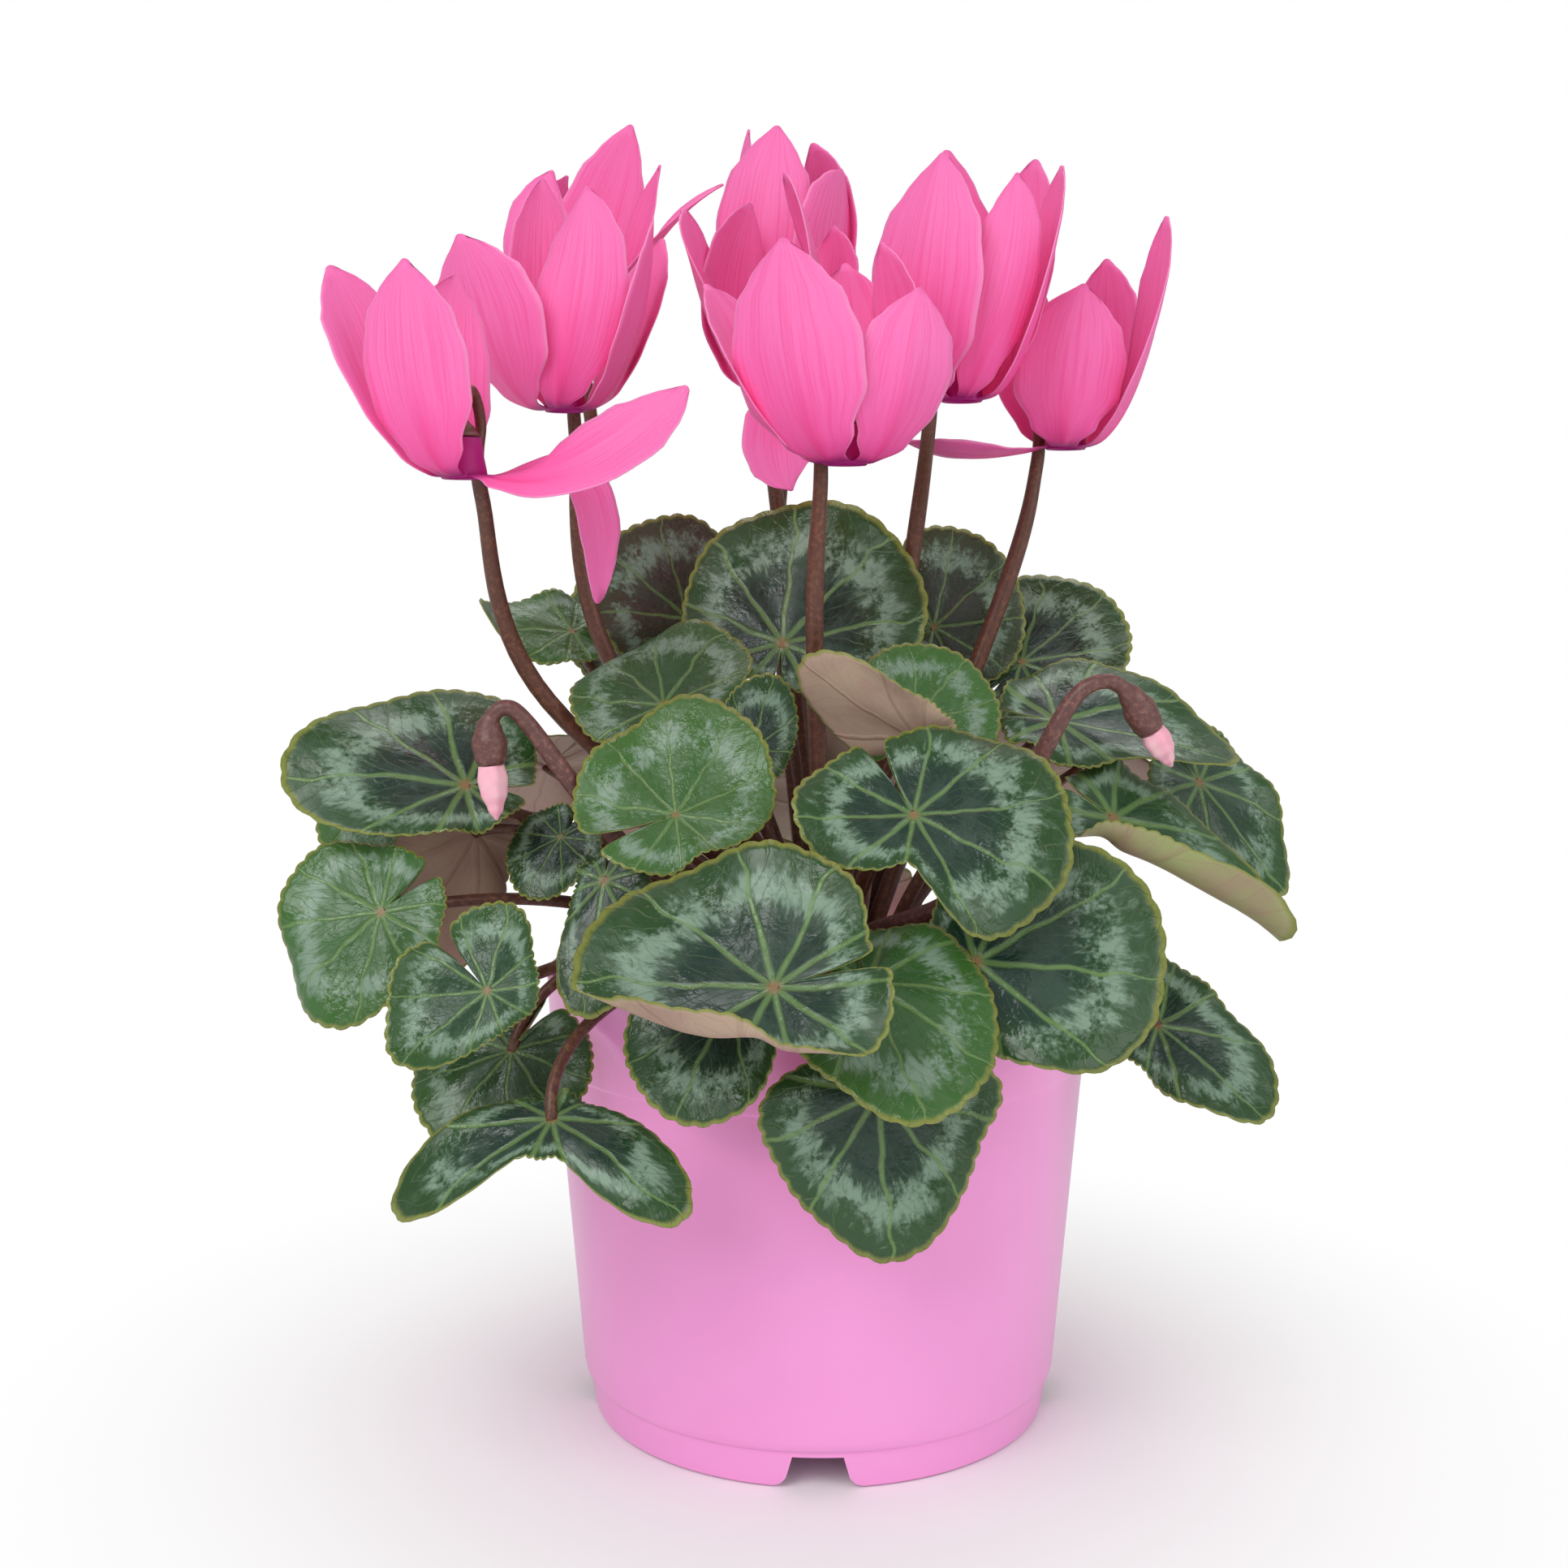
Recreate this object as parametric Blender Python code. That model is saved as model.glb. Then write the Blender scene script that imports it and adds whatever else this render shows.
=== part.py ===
"""Potted cyclamen: a plastic pot, potting soil, a tuber, and the leaves, flowers and buds that grow from it."""

import math

import bmesh
import bpy
from mathutils import Matrix, Vector

MM = 0.001

# Pot, in millimetres
POT_PLACE = (2.0, 1.0, 0.0)
RIM_RADIUS = 60.0
RIM_HEIGHT = 97.4
BAND_BOTTOM = 79.0
BAND_STEP = 0.7
BASE_RADIUS = 52.0
BASE_HEIGHT = 8.0
FOOT_RADIUS = 51.2
WALL = 1.5
POT_SEGMENTS = 48
NOTCH_COUNT = 4
NOTCH_WIDTH = 10.6
NOTCH_FLARE = 7.0
NOTCH_TOP = 7.0

# What fills the pot
GAP = 0.3
SOIL_LEVEL = 87.0
SOIL_CROWN = 1.2
SOIL_SEGMENTS = 32
TUBER_RADIUS = 22.0
TUBER_HEIGHT = 11.0
TUBER_SEGMENTS = 20

# Leaves
BLADE_THICKNESS = 0.8
STALK_HUB = 1.6
STALK_TOP_RADIUS = 1.2
STALK_ROOT_RADIUS = 1.5
STALK_RINGS = 6
NOTCH_DEPTH = 0.15
NOTCH_HALF_ANGLE = 8
BLADE_BANDS = (0.45, 1.0)
SPOKES = (0, 8, 28, 48, 70, 92, 114, 136, 158, 180, 202, 224, 246, 268, 290, 312, 332, 352)
STALK_SPOKES = SPOKES[::3]
ROUND_BLADE = (100, 96, 89, 81, 74, 66, 58, 66, 74, 81, 89, 96)

# Flowers
PETAL_COUNT = 5
PETAL_THICKNESS = 0.8
PETAL_ROWS = ((0.25, 0.3), (0.52, 0.95), (0.8, 0.9), (1.0, 0.3))
PETAL_COLUMNS = (-1.0, -0.36, 0.36, 1.0)
THROAT_RADIUS = 4.6
THROAT_HEIGHT = 8.0
THROAT_TOP_RADIUS = 3.4
THROAT_SEGMENTS = 20
SCAPE_RADIUS = 2.0
SCAPE_NECK_RADIUS = 1.0
SCAPE_SIDES = 6
SCAPE_OFFSET = 6.8
CALYX_RADIUS = 3.4


def unit(vector):
    return Vector(vector).normalized()


def across(vector, axis):
    """The part of vector at right angles to axis, made one long."""
    return unit(Vector(vector) - axis * Vector(vector).dot(axis))


def material(name, colour, roughness, coat=0.0):
    made = bpy.data.materials.new(name)
    made.use_nodes = True
    shader = made.node_tree.nodes["Principled BSDF"]
    shader.inputs["Base Color"].default_value = (*colour, 1.0)
    shader.inputs["Roughness"].default_value = roughness
    shader.inputs["Metallic"].default_value = 0.0
    shader.inputs["Coat Weight"].default_value = coat
    return made


def finish(name, bm, surface, parent, origin=(0, 0, 0), smooth=True):
    """Turns a mesh modelled in millimetres into an object that stands at its own origin."""
    bmesh.ops.recalc_face_normals(bm, faces=bm.faces)
    bmesh.ops.triangulate(bm, faces=[f for f in bm.faces if len(f.verts) > 4])
    bmesh.ops.transform(bm, matrix=Matrix.Translation(-Vector(origin)), verts=bm.verts)
    bmesh.ops.scale(bm, vec=Vector((MM, MM, MM)), verts=bm.verts)
    mesh = bpy.data.meshes.new(name)
    bm.to_mesh(mesh)
    bm.free()
    mesh.materials.append(surface)
    for face in mesh.polygons:
        face.use_smooth = smooth
    thing = bpy.data.objects.new(name, mesh)
    thing.location = Vector(origin) * MM
    thing.parent = parent
    bpy.context.collection.objects.link(thing)
    return thing


def join_rings(bm, first, second):
    count = len(first)
    for i in range(count):
        j = (i + 1) % count
        bm.faces.new((first[i], first[j], second[j], second[i]))


def turned(profile, segments):
    """A solid of revolution about Z from a profile of (radius, height) that starts and ends on the axis."""
    bm = bmesh.new()
    points = [bm.verts.new((r, 0, z)) for r, z in profile]
    edges = [bm.edges.new(pair) for pair in zip(points, points[1:])]
    bmesh.ops.spin(
        bm,
        geom=points + edges,
        cent=(0, 0, 0),
        axis=(0, 0, 1),
        angle=math.tau,
        steps=segments,
        use_merge=True,
    )
    bmesh.ops.remove_doubles(bm, verts=bm.verts, dist=0.001)
    return bm


def bezier(points, t):
    a, b, c, d = points
    s = 1 - t
    return a * s**3 + b * 3 * s * s * t + c * 3 * s * t * t + d * t**3


def tangent(points, t):
    a, b, c, d = points
    s = 1 - t
    return unit((b - a) * s * s + (c - b) * 2 * s * t + (d - c) * t * t)


def tube_rings(bm, centres, directions, radii, side, angles):
    """Rings of a tube, from its last centre back to its first, without twist."""
    rings = []
    along = directions[-1]
    side = across(side, along)
    for centre, direction, radius in reversed(list(zip(centres, directions, radii))):
        side = along.rotation_difference(direction) @ side
        along = direction
        side = across(side, along)
        other = along.cross(side)
        rings.append(
            [
                bm.verts.new(centre + (side * math.cos(a) + other * math.sin(a)) * radius)
                for a in angles
            ]
        )
    return rings


def tuber_point(azimuth, radius, above=GAP):
    """A point just over the tuber and the direction that its skin faces there."""
    base = SOIL_LEVEL + SOIL_CROWN + GAP
    rise = TUBER_HEIGHT * math.sqrt(max(0, 1 - (radius / TUBER_RADIUS) ** 2))
    out = Vector((math.cos(math.radians(azimuth)), math.sin(math.radians(azimuth)), 0))
    normal = unit(out * radius / TUBER_RADIUS**2 + Vector((0, 0, rise / TUBER_HEIGHT**2)))
    return out * radius + Vector((0, 0, base + rise)) + normal * above, normal


# Each leaf: where the stalk meets the blade, where the blade's tip lies, which way its upper side looks,
# how its stalk leaves the tuber (azimuth, radius), and how its outline and surface differ from a round leaf.
# Outlines are percentages of the length from stalk to tip, every 30 degrees anticlockwise from the tip.
LEAVES = {
    "leaf_front_hanging": dict(
        stalk=(11, -71, 87), tip=(14, -76, 56), face=(0, -1, 0.25), root=(-78, 21), lift=22,
        outline=(100, 82, 68, 74, 45, 30, 25, 30, 45, 70, 74, 84), cup=-0.05,
    ),
    "leaf_front_large": dict(
        stalk=(-8, -84, 110), tip=(-44, -76, 108), face=(0.1, -0.75, 0.65), root=(-101, 19),
        outline=(100, 84, 62, 44, 58, 64, 60, 52, 69, 78, 84, 96), notch=195, cup=0.1,
    ),
    "leaf_front_right_large": dict(
        stalk=(18, -58, 138), tip=(30, -72, 118), face=(0.1, -0.8, 0.6), root=(-70, 14),
        outline=(100, 112, 110, 106, 88, 70, 66, 72, 86, 79, 55, 42), notch=180, cup=0.06,
    ),
    "leaf_right_front": dict(
        stalk=(30, -60, 110), tip=(66, -62, 108), face=(0.3, -0.9, 0.45), root=(-58, 20),
        outline=(100, 103, 84, 62, 42, 30, 28, 28, 38, 42, 62, 94), cup=-0.06,
    ),
    "leaf_green_front": dict(
        stalk=(9, -70, 108), tip=(19, -92, 88), face=(0.2, -0.8, 0.6), root=(-90, 21),
        outline=(100, 92, 80, 72, 62, 50, 36, 24, 24, 34, 62, 76), cup=-0.05,
    ),
    "leaf_under_front": dict(
        stalk=(-17, -62, 102), tip=(-27, -76, 84), face=(-0.1, -0.8, 0.6), root=(-112, 21),
        outline=(100, 86, 58, 42, 40, 40, 40, 40, 44, 56, 82, 92), cup=-0.1,
    ),
    "leaf_left_heart": dict(
        stalk=(-63, -64, 105), tip=(-79, -70, 92), face=(-0.1, -1, 0.4), root=(-134, 20),
        outline=(100, 64, 46, 40, 46, 48, 52, 80, 76, 68, 87, 90), notch=270, cup=0.08,
    ),
    "leaf_left_large": dict(
        stalk=(-87, -46, 117), tip=(-106, -52, 100), face=(-0.3, -1, 0.2), root=(-152, 20),
        outline=(100, 92, 68, 60, 50, 50, 52, 52, 58, 76, 82, 86), cup=-0.1,
    ),
    "leaf_left_upturned": dict(
        stalk=(-72, -24, 130), tip=(-89, -42, 99), face=(-0.6, 0.9, 0.2), root=(-170, 20),
        outline=(100, 72, 45, 35, 30, 28, 26, 28, 30, 35, 45, 72), cup=0.05,
    ),
    "leaf_left_upper": dict(
        stalk=(-72, -34, 141), tip=(-108, -40, 146), face=(-0.1, -0.7, 0.7), root=(-166, 13),
        outline=(100, 70, 42, 32, 30, 32, 36, 44, 62, 72, 78, 88), cup=-0.08,
    ),
    "leaf_left_second": dict(
        stalk=(-90, -14, 139), tip=(-105, -20, 126), face=(-0.5, -0.8, 0.4), root=(176, 20),
        outline=ROUND_BLADE, cup=-0.1,
    ),
    "leaf_left_drooping": dict(
        stalk=(-50, -71, 82), tip=(-25, -88, 73), face=(0, -0.6, 0.8), root=(-124, 21), lift=26,
        outline=(100, 62, 28, 24, 22, 22, 34, 60, 104, 40, 30, 36), notch=120, cup=-0.25,
    ),
    "leaf_left_under": dict(
        stalk=(-62, -42, 88), tip=(-76, -52, 73), face=(-0.3, -0.9, 0.4), root=(-143, 21), lift=24,
        outline=ROUND_BLADE, cup=-0.1,
    ),
    "leaf_left_shiny": dict(
        stalk=(-42, -50, 124), tip=(-45, -62, 99), face=(-0.3, -0.9, 0.3), root=(-127, 15),
        outline=(100, 66, 42, 36, 30, 26, 22, 20, 20, 22, 28, 48), cup=0.06,
    ),
    "leaf_left_dark": dict(
        stalk=(-53, -31, 130), tip=(-60, -37, 119), face=(-0.2, -0.8, 0.6), root=(-152, 14),
        outline=(100, 90, 78, 70, 60, 54, 50, 54, 60, 70, 78, 90), cup=-0.05,
    ),
    "leaf_centre_left": dict(
        stalk=(-28, -50, 137), tip=(-9, -44, 144), face=(-0.1, -0.8, 0.6), root=(-112, 15),
        outline=(100, 118, 128, 104, 100, 96, 84, 76, 64, 54, 64, 88), notch=180, cup=0.1,
    ),
    "leaf_upper_left": dict(
        stalk=(-32, -28, 157), tip=(-35, -14, 174), face=(-0.1, -0.8, 0.6), root=(-116, 8),
        outline=(100, 108, 97, 82, 62, 40, 34, 34, 52, 70, 100, 106), cup=-0.08,
    ),
    "leaf_centre_small": dict(
        stalk=(-14, -31, 148), tip=(-10, -25, 163), face=(0.4, -0.9, 0.3), root=(-100, 11),
        outline=(100, 80, 60, 50, 46, 42, 40, 42, 46, 50, 60, 80), cup=0.1,
    ),
    "leaf_light_green": dict(
        stalk=(20, -22, 153), tip=(31, -13, 167), face=(0.2, -0.8, 0.6), root=(-62, 6),
        outline=ROUND_BLADE, cup=-0.06,
    ),
    "leaf_folded_pink": dict(
        stalk=(20, -38, 151), tip=(-5, -40, 164), face=(0.1, 0.7, 0.7), root=(-64, 11),
        outline=(100, 72, 44, 34, 30, 28, 26, 28, 30, 34, 44, 72), cup=0.12,
    ),
    "leaf_upper_centre": dict(
        stalk=(-8, -8, 169), tip=(-5, 7, 200), face=(0, -0.85, 0.5), root=(-100, 4),
        outline=(100, 91, 73, 60, 42, 30, 28, 36, 60, 82, 99, 106), cup=-0.05,
    ),
    "leaf_upper_back_left": dict(
        stalk=(-30, 16, 174), tip=(-48, 12, 190), face=(-0.2, -0.8, 0.6), root=(160, 6),
        outline=(100, 92, 78, 64, 52, 46, 44, 52, 66, 82, 98, 98), cup=-0.06,
    ),
    "leaf_upper_right": dict(
        stalk=(26, 17, 172), tip=(43, 20, 187), face=(0.3, -0.85, 0.45), root=(20, 7),
        outline=(100, 104, 98, 62, 36, 28, 26, 28, 48, 76, 88, 92), cup=-0.06,
    ),
    "leaf_far_left_back": dict(
        stalk=(-56, 14, 171), tip=(-77, 4, 173), face=(-0.1, -0.7, 0.7), root=(172, 14),
        outline=(100, 66, 50, 42, 40, 40, 42, 46, 50, 56, 62, 76), cup=-0.1,
    ),
    "leaf_right_upper": dict(
        stalk=(50, -16, 153), tip=(88, -20, 147), face=(0.2, -0.6, 0.8), root=(-18, 14),
        outline=(100, 84, 66, 58, 46, 36, 32, 30, 30, 32, 36, 46), cup=-0.08,
    ),
    "leaf_right_back": dict(
        stalk=(84, 4, 138), tip=(104, 0, 114), face=(0.5, -0.8, 0.4), root=(4, 18),
        outline=(100, 76, 60, 54, 50, 46, 42, 42, 42, 44, 50, 66), cup=-0.08,
    ),
    "leaf_right_folded": dict(
        stalk=(60, -30, 134), tip=(94, -34, 110), face=(0.3, -0.6, 0.7), root=(-24, 19),
        outline=(100, 70, 52, 42, 36, 32, 30, 30, 32, 34, 40, 56), cup=-0.05,
    ),
    "leaf_right_drooping": dict(
        stalk=(70, -30, 91), tip=(92, -38, 74), face=(0.4, -0.8, 0.5), root=(-34, 20), lift=20,
        outline=(100, 90, 62, 56, 62, 50, 40, 36, 38, 40, 42, 64), cup=-0.08,
    ),
    "leaf_back_top": dict(
        stalk=(16, 36, 172), tip=(24, 52, 192), face=(0, -0.6, 0.8), root=(66, 8),
        outline=ROUND_BLADE, cup=-0.05,
    ),
    "leaf_back_top_right": dict(
        stalk=(46, 18, 164), tip=(66, 24, 180), face=(0.3, -0.4, 0.8), root=(34, 10),
        outline=ROUND_BLADE, cup=-0.05,
    ),
    "leaf_back_top_left": dict(
        stalk=(-34, 36, 170), tip=(-52, 50, 188), face=(-0.2, -0.5, 0.8), root=(128, 7),
        outline=ROUND_BLADE, cup=-0.05,
    ),
    "leaf_back_right": dict(
        stalk=(62, 38, 138), tip=(90, 56, 118), face=(0.5, 0.4, 0.8), root=(30, 17),
        outline=ROUND_BLADE, cup=-0.08,
    ),
    "leaf_back_centre_right": dict(
        stalk=(22, 66, 134), tip=(32, 98, 112), face=(0.2, 0.6, 0.8), root=(68, 16),
        outline=ROUND_BLADE, cup=-0.08,
    ),
    "leaf_back_centre_left": dict(
        stalk=(-26, 66, 130), tip=(-36, 96, 106), face=(-0.2, 0.6, 0.8), root=(112, 17),
        outline=ROUND_BLADE, cup=-0.08,
    ),
    "leaf_back_left": dict(
        stalk=(-66, 40, 138), tip=(-92, 56, 118), face=(-0.5, 0.4, 0.8), root=(150, 17),
        outline=ROUND_BLADE, cup=-0.08,
    ),
    "leaf_back_low": dict(
        stalk=(-2, 72, 100), tip=(-4, 92, 70), face=(0, 0.9, 0.4), root=(92, 20), lift=10,
        outline=ROUND_BLADE, cup=-0.08,
    ),
}


def blade_reach(spec, length, angle):
    """How far the blade runs from the stalk in one direction, smooth between the outline's values."""
    outline = spec["outline"]
    place = (angle % 360) / 30
    i = int(place)
    f = place - i
    a, b, c, d = (outline[(i + k) % 12] for k in (-1, 0, 1, 2))
    value = b + 0.5 * f * (c - a + f * (2 * a - 5 * b + 4 * c - d + f * (3 * (b - c) + d - a)))
    away = abs((angle - spec.get("notch", 180) + 180) % 360 - 180)
    open_share = min(1, away / NOTCH_HALF_ANGLE)
    return length * value / 100 * (NOTCH_DEPTH + (1 - NOTCH_DEPTH) * open_share)


def leaf(name, spec, surface, parent):
    """One leaf: a thin blade on its stalk, a single closed body."""
    hub = Vector(spec["stalk"])
    to_tip = Vector(spec["tip"]) - hub
    length = to_tip.length
    ahead = unit(to_tip)
    up = across(spec["face"], ahead)
    left = up.cross(ahead)
    cup = spec.get("cup", 0) / length

    def place(reach, angle, side):
        a = reach * math.cos(math.radians(angle))
        b = reach * math.sin(math.radians(angle))
        rise = cup * reach**2 + side * BLADE_THICKNESS / 2
        return hub + ahead * a + left * b + up * rise

    bm = bmesh.new()
    angles = [spec.get("notch", 180) + s for s in SPOKES]
    faces = {}
    for side in (1, -1):
        rings = [[bm.verts.new(place(STALK_HUB, a, side)) for a in angles]]
        for band in BLADE_BANDS:
            rings.append(
                [
                    bm.verts.new(
                        place(
                            STALK_HUB + (max(blade_reach(spec, length, a), STALK_HUB + 0.8) - STALK_HUB) * band,
                            a,
                            side,
                        )
                    )
                    for a in angles
                ]
            )
        for inner, outer in zip(rings, rings[1:]):
            join_rings(bm, inner, outer)
        faces[side] = rings
    join_rings(bm, faces[1][-1], faces[-1][-1])
    middle = bm.verts.new(place(0, 0, 1))
    top = faces[1][0]
    for i in range(len(top)):
        bm.faces.new((top[i], top[(i + 1) % len(top)], middle))

    root, skin = tuber_point(*spec["root"])
    end = hub - up * (BLADE_THICKNESS / 2 + 1.2)
    span = (end - root).length
    arrive = unit(up * 0.75 + ahead * 0.45)
    lift = Vector((0, 0, spec.get("lift", 0)))
    path = (root, root + unit(skin + Vector((0, 0, 0.5))) * span * 0.42, end - arrive * span * 0.22 + lift, end)
    steps = [i / (STALK_RINGS - 1) for i in range(STALK_RINGS)]
    radii = [STALK_ROOT_RADIUS + (STALK_TOP_RADIUS - STALK_ROOT_RADIUS) * t for t in steps]
    rings = tube_rings(
        bm,
        [bezier(path, t) for t in steps],
        [tangent(path, t) for t in steps],
        radii,
        ahead,
        [math.radians(spec.get("notch", 180) + s) for s in STALK_SPOKES],
    )
    for first, second in zip(rings, rings[1:]):
        join_rings(bm, first, second)
    bm.faces.new(rings[-1])
    hub_ring = faces[-1][0]
    stalk_ring = rings[0]
    for j in range(len(stalk_ring)):
        k = (j + 1) % len(stalk_ring)
        a, b, c, d = (hub_ring[(3 * j + i) % len(hub_ring)] for i in range(4))
        bm.faces.new((a, b, stalk_ring[j]))
        bm.faces.new((b, c, stalk_ring[j]))
        bm.faces.new((c, stalk_ring[k], stalk_ring[j]))
        bm.faces.new((c, d, stalk_ring[k]))
    return finish(name, bm, surface, parent, origin=spec["stalk"])


# Each flower: the middle of its mouth, the side on which its scape passes the mouth, where the scape leaves
# the tuber (azimuth, radius), the scape's lean on the way up, and five petals anticlockwise from that side.
# A petal has a point it passes, its tip (both from the mouth), its full width and its twist in degrees.
FLOWERS = {
    "flower_left_front": dict(
        mouth=(-69, -46, 202), behind=70, root=(-160, 8), lean=(-58, -24, 160),
        petals=(
            ((-9, 12, 24), (-3, 13, 41), 15, 0),
            ((-15, 3, 20), (-26, 2, 41), 19, -40),
            ((-9, -12, 20), (-8, -13, 40), 18, 20),
            ((24, -16, -6), (44, -8, 17), 19, 60),
            ((28, 2, 14), (25, 6, -24), 14, 30),
        ),
    ),
    "flower_left_second": dict(
        mouth=(-54, -8, 218), behind=80, root=(178, 11), lean=(-48, 0, 170),
        petals=(
            ((-8, 14, 28), (-6, 13, 51), 14, 0),
            ((-14, -10, 16), (-20, -12, 35), 23, 40),
            ((8, -14, 22), (6, -9, 45), 16, -30),
            ((19, -4, 18), (19, -2, 40), 18, 20),
            ((15, 13, 20), (20, 12, 38), 16, 0),
        ),
    ),
    "flower_back_left": dict(
        mouth=(-58, 32, 238), behind=-60, root=(148, 11), lean=(-44, 26, 180),
        petals=(
            ((16, -12, 22), (36, -4, 34), 9, 40),
            ((16, 6, 22), (21, 4, 40), 12, 0),
            ((4, 14, 24), (14, 8, 50), 16, 0),
            ((-12, 10, 20), (-2, 16, 40), 14, 0),
            ((-12, -12, 18), (-2, -10, 36), 14, 20),
        ),
    ),
    "flower_back_top": dict(
        mouth=(-8, 48, 238), behind=60, root=(105, 10), lean=(-10, 36, 190),
        petals=(
            ((-2, 16, 26), (-4, 10, 48), 18, 0),
            ((-16, 3, 26), (-9, 2, 51), 20, 30),
            ((-8, -14, 26), (-2, -6, 50), 20, 20),
            ((12, -13, 24), (13, -6, 40), 22, 20),
            ((17, 6, 26), (6, 3, 48), 18, 20),
        ),
    ),
    "flower_centre_back": dict(
        mouth=(-10, 16, 224), behind=110, root=(90, 2), lean=(-8, 26, 185),
        petals=(
            ((-15, 12, 22), (-6, 12, 44), 19, 0),
            ((-18, -4, 22), (-20, -3, 40), 20, -40),
            ((-2, -14, -12), (4, -12, -22), 14, 0),
            ((15, -8, 22), (2, -6, 47), 18, 30),
            ((17, 9, 22), (13, 8, 38), 16, 0),
        ),
    ),
    "flower_front": dict(
        mouth=(5, -38, 205), behind=135, root=(-84, 9), lean=(-1, -30, 172),
        petals=(
            ((-18, 6, 20), (-28, 6, 36), 20, -20),
            ((-12, -13, 18), (-12, -12, 42), 23, 20),
            ((12, -14, 16), (14, -10, 33), 17, -30),
            ((16, 6, 22), (7, 6, 44), 13, 20),
            ((2, 16, 22), (0, 12, 41), 19, 0),
        ),
    ),
    "flower_right_centre": dict(
        mouth=(30, -7, 220), behind=165, root=(-14, 8), lean=(20, 9, 184),
        petals=(
            ((-12, -18, 20), (-5, -12, 49), 22, 10),
            ((10, -15, 24), (10, -12, 45), 12, -20),
            ((18, -4, 24), (20, -4, 48), 20, 30),
            ((14, 13, 26), (16, 9, 52), 18, 0),
            ((-4, 16, 26), (-3, 9, 54), 22, 0),
        ),
    ),
    "flower_right": dict(
        mouth=(54, 8, 211), behind=150, root=(16, 12), lean=(41, 10, 180),
        petals=(
            ((-22, -2, -4), (-36, -4, 2), 13, 10),
            ((-2, -15, 18), (2, -12, 34), 20, 0),
            ((19, -8, 20), (20, -6, 49), 20, 40),
            ((12, 14, 24), (10, 12, 43), 17, 0),
            ((-12, 13, 22), (-6, 12, 40), 17, 0),
        ),
    ),
}

# Each bud: the scape's way (its first point is worked out on the tuber), the calyx's end and the tip.
BUDS = {
    "bud_left": dict(
        root=(-142, 11), way=((-31, -26, 118), (-47, -43, 140), (-57, -49, 155), (-61, -50, 158)),
        calyx=(-64, -50, 155), end=(-64, -50, 147), tip=(-63, -50, 136),
    ),
    "bud_right": dict(
        root=(-44, 12), way=((30, -24, 118), (44, -34, 146), (51, -36, 159), (57, -36, 162.5)),
        calyx=(62, -34.5, 160), end=(67, -33, 152.5), tip=(71.5, -32, 145),
    ),
}


def through(points, t):
    """A smooth curve through the points, at t from 0 to 1."""
    place = min(t * (len(points) - 1), len(points) - 1.0001)
    i = int(place)
    f = place - i
    a = points[i - 1] if i else points[0] * 2 - points[1]
    b, c = points[i], points[i + 1]
    d = points[i + 2] if i + 2 < len(points) else points[-1] * 2 - points[-2]
    return b + 0.5 * f * (c - a + f * (2 * a - 5 * b + 4 * c - d + f * (3 * (b - c) + d - a)))


def scape(name, points, radii, skin, surface, parent):
    """A flower's or bud's stalk, with its calyx as the wide end."""
    bm = bmesh.new()
    last = len(radii) - 1
    centres = [through(points, i / last) for i in range(last + 1)]
    directions = [unit(b - a) for a, b in zip(centres, centres[1:])]
    bends = [unit(a + b) for a, b in zip(directions, directions[1:])]
    directions = [skin, *bends, unit(points[-1] - points[-2])]
    sides = [math.tau * k / SCAPE_SIDES for k in range(SCAPE_SIDES)]
    rings = tube_rings(bm, centres, directions, radii, (0.3, -0.9, 0.1), sides)
    for first, second in zip(rings, rings[1:]):
        join_rings(bm, first, second)
    bm.faces.new(rings[0])
    bm.faces.new(rings[-1])
    return finish(name, bm, surface, parent, origin=points[0])


def flower_scape(name, spec, surface, parent):
    mouth = Vector(spec["mouth"])
    turn = math.radians(spec["behind"])
    aside = Vector((math.cos(turn), math.sin(turn), 0)) * SCAPE_OFFSET
    root, skin = tuber_point(*spec["root"], above=0.4)
    rise = Vector((0, 0, 1))
    top = THROAT_HEIGHT + GAP
    points = [
        root,
        root + skin * 6 + rise * 5,
        Vector(spec["lean"]),
        mouth + aside - rise * 3,
        mouth + aside + rise * (top + 3),
        mouth + aside * 0.5 + rise * (top + 9),
        mouth + rise * (top + 4.5),
        mouth + rise * top,
    ]
    neck = SCAPE_NECK_RADIUS
    radii = [SCAPE_RADIUS, 1.95, 1.9, 1.8, 1.6, 1.4, 1.2, neck, neck, neck, neck, neck, 2.2, CALYX_RADIUS]
    return scape(name, points, radii, skin, surface, parent)


def petal_rings(bm, spec, azimuth, root_ring):
    """Carries one petal out from its four pairs of points on the throat's edge to its tip."""
    out = Vector((math.cos(azimuth), math.sin(azimuth), 0))
    via, tip, width, twist = spec
    start = out * THROAT_RADIUS + Vector((0, 0, 0.6))
    path = (start, start + out * 8 - Vector((0, 0, 1.0)), Vector(via), Vector(tip))
    along = out
    side = Vector((-math.sin(azimuth), math.cos(azimuth), 0))
    rings = [root_ring]
    for t, share in PETAL_ROWS:
        direction = tangent(path, t)
        side = across(along.rotation_difference(direction) @ side, direction)
        along = direction
        turn = math.radians(twist) * t
        thick = along.cross(side)
        wide = side * math.cos(turn) + thick * math.sin(turn)
        deep = along.cross(wide)
        centre = bezier(path, t)
        edge = [centre + wide * (width / 2 * share * c) for c in PETAL_COLUMNS]
        upper = [bm.verts.new(p + deep * PETAL_THICKNESS / 2) for p in edge]
        lower = [bm.verts.new(p - deep * PETAL_THICKNESS / 2) for p in edge]
        rings.append(upper + lower[::-1])
    for first, second in zip(rings, rings[1:]):
        join_rings(bm, first, second)
    count = len(PETAL_COLUMNS)
    tip_ring = rings[-1]
    for i in range(count - 1):
        bm.faces.new((tip_ring[i], tip_ring[i + 1], tip_ring[-2 - i], tip_ring[-1 - i]))


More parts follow.
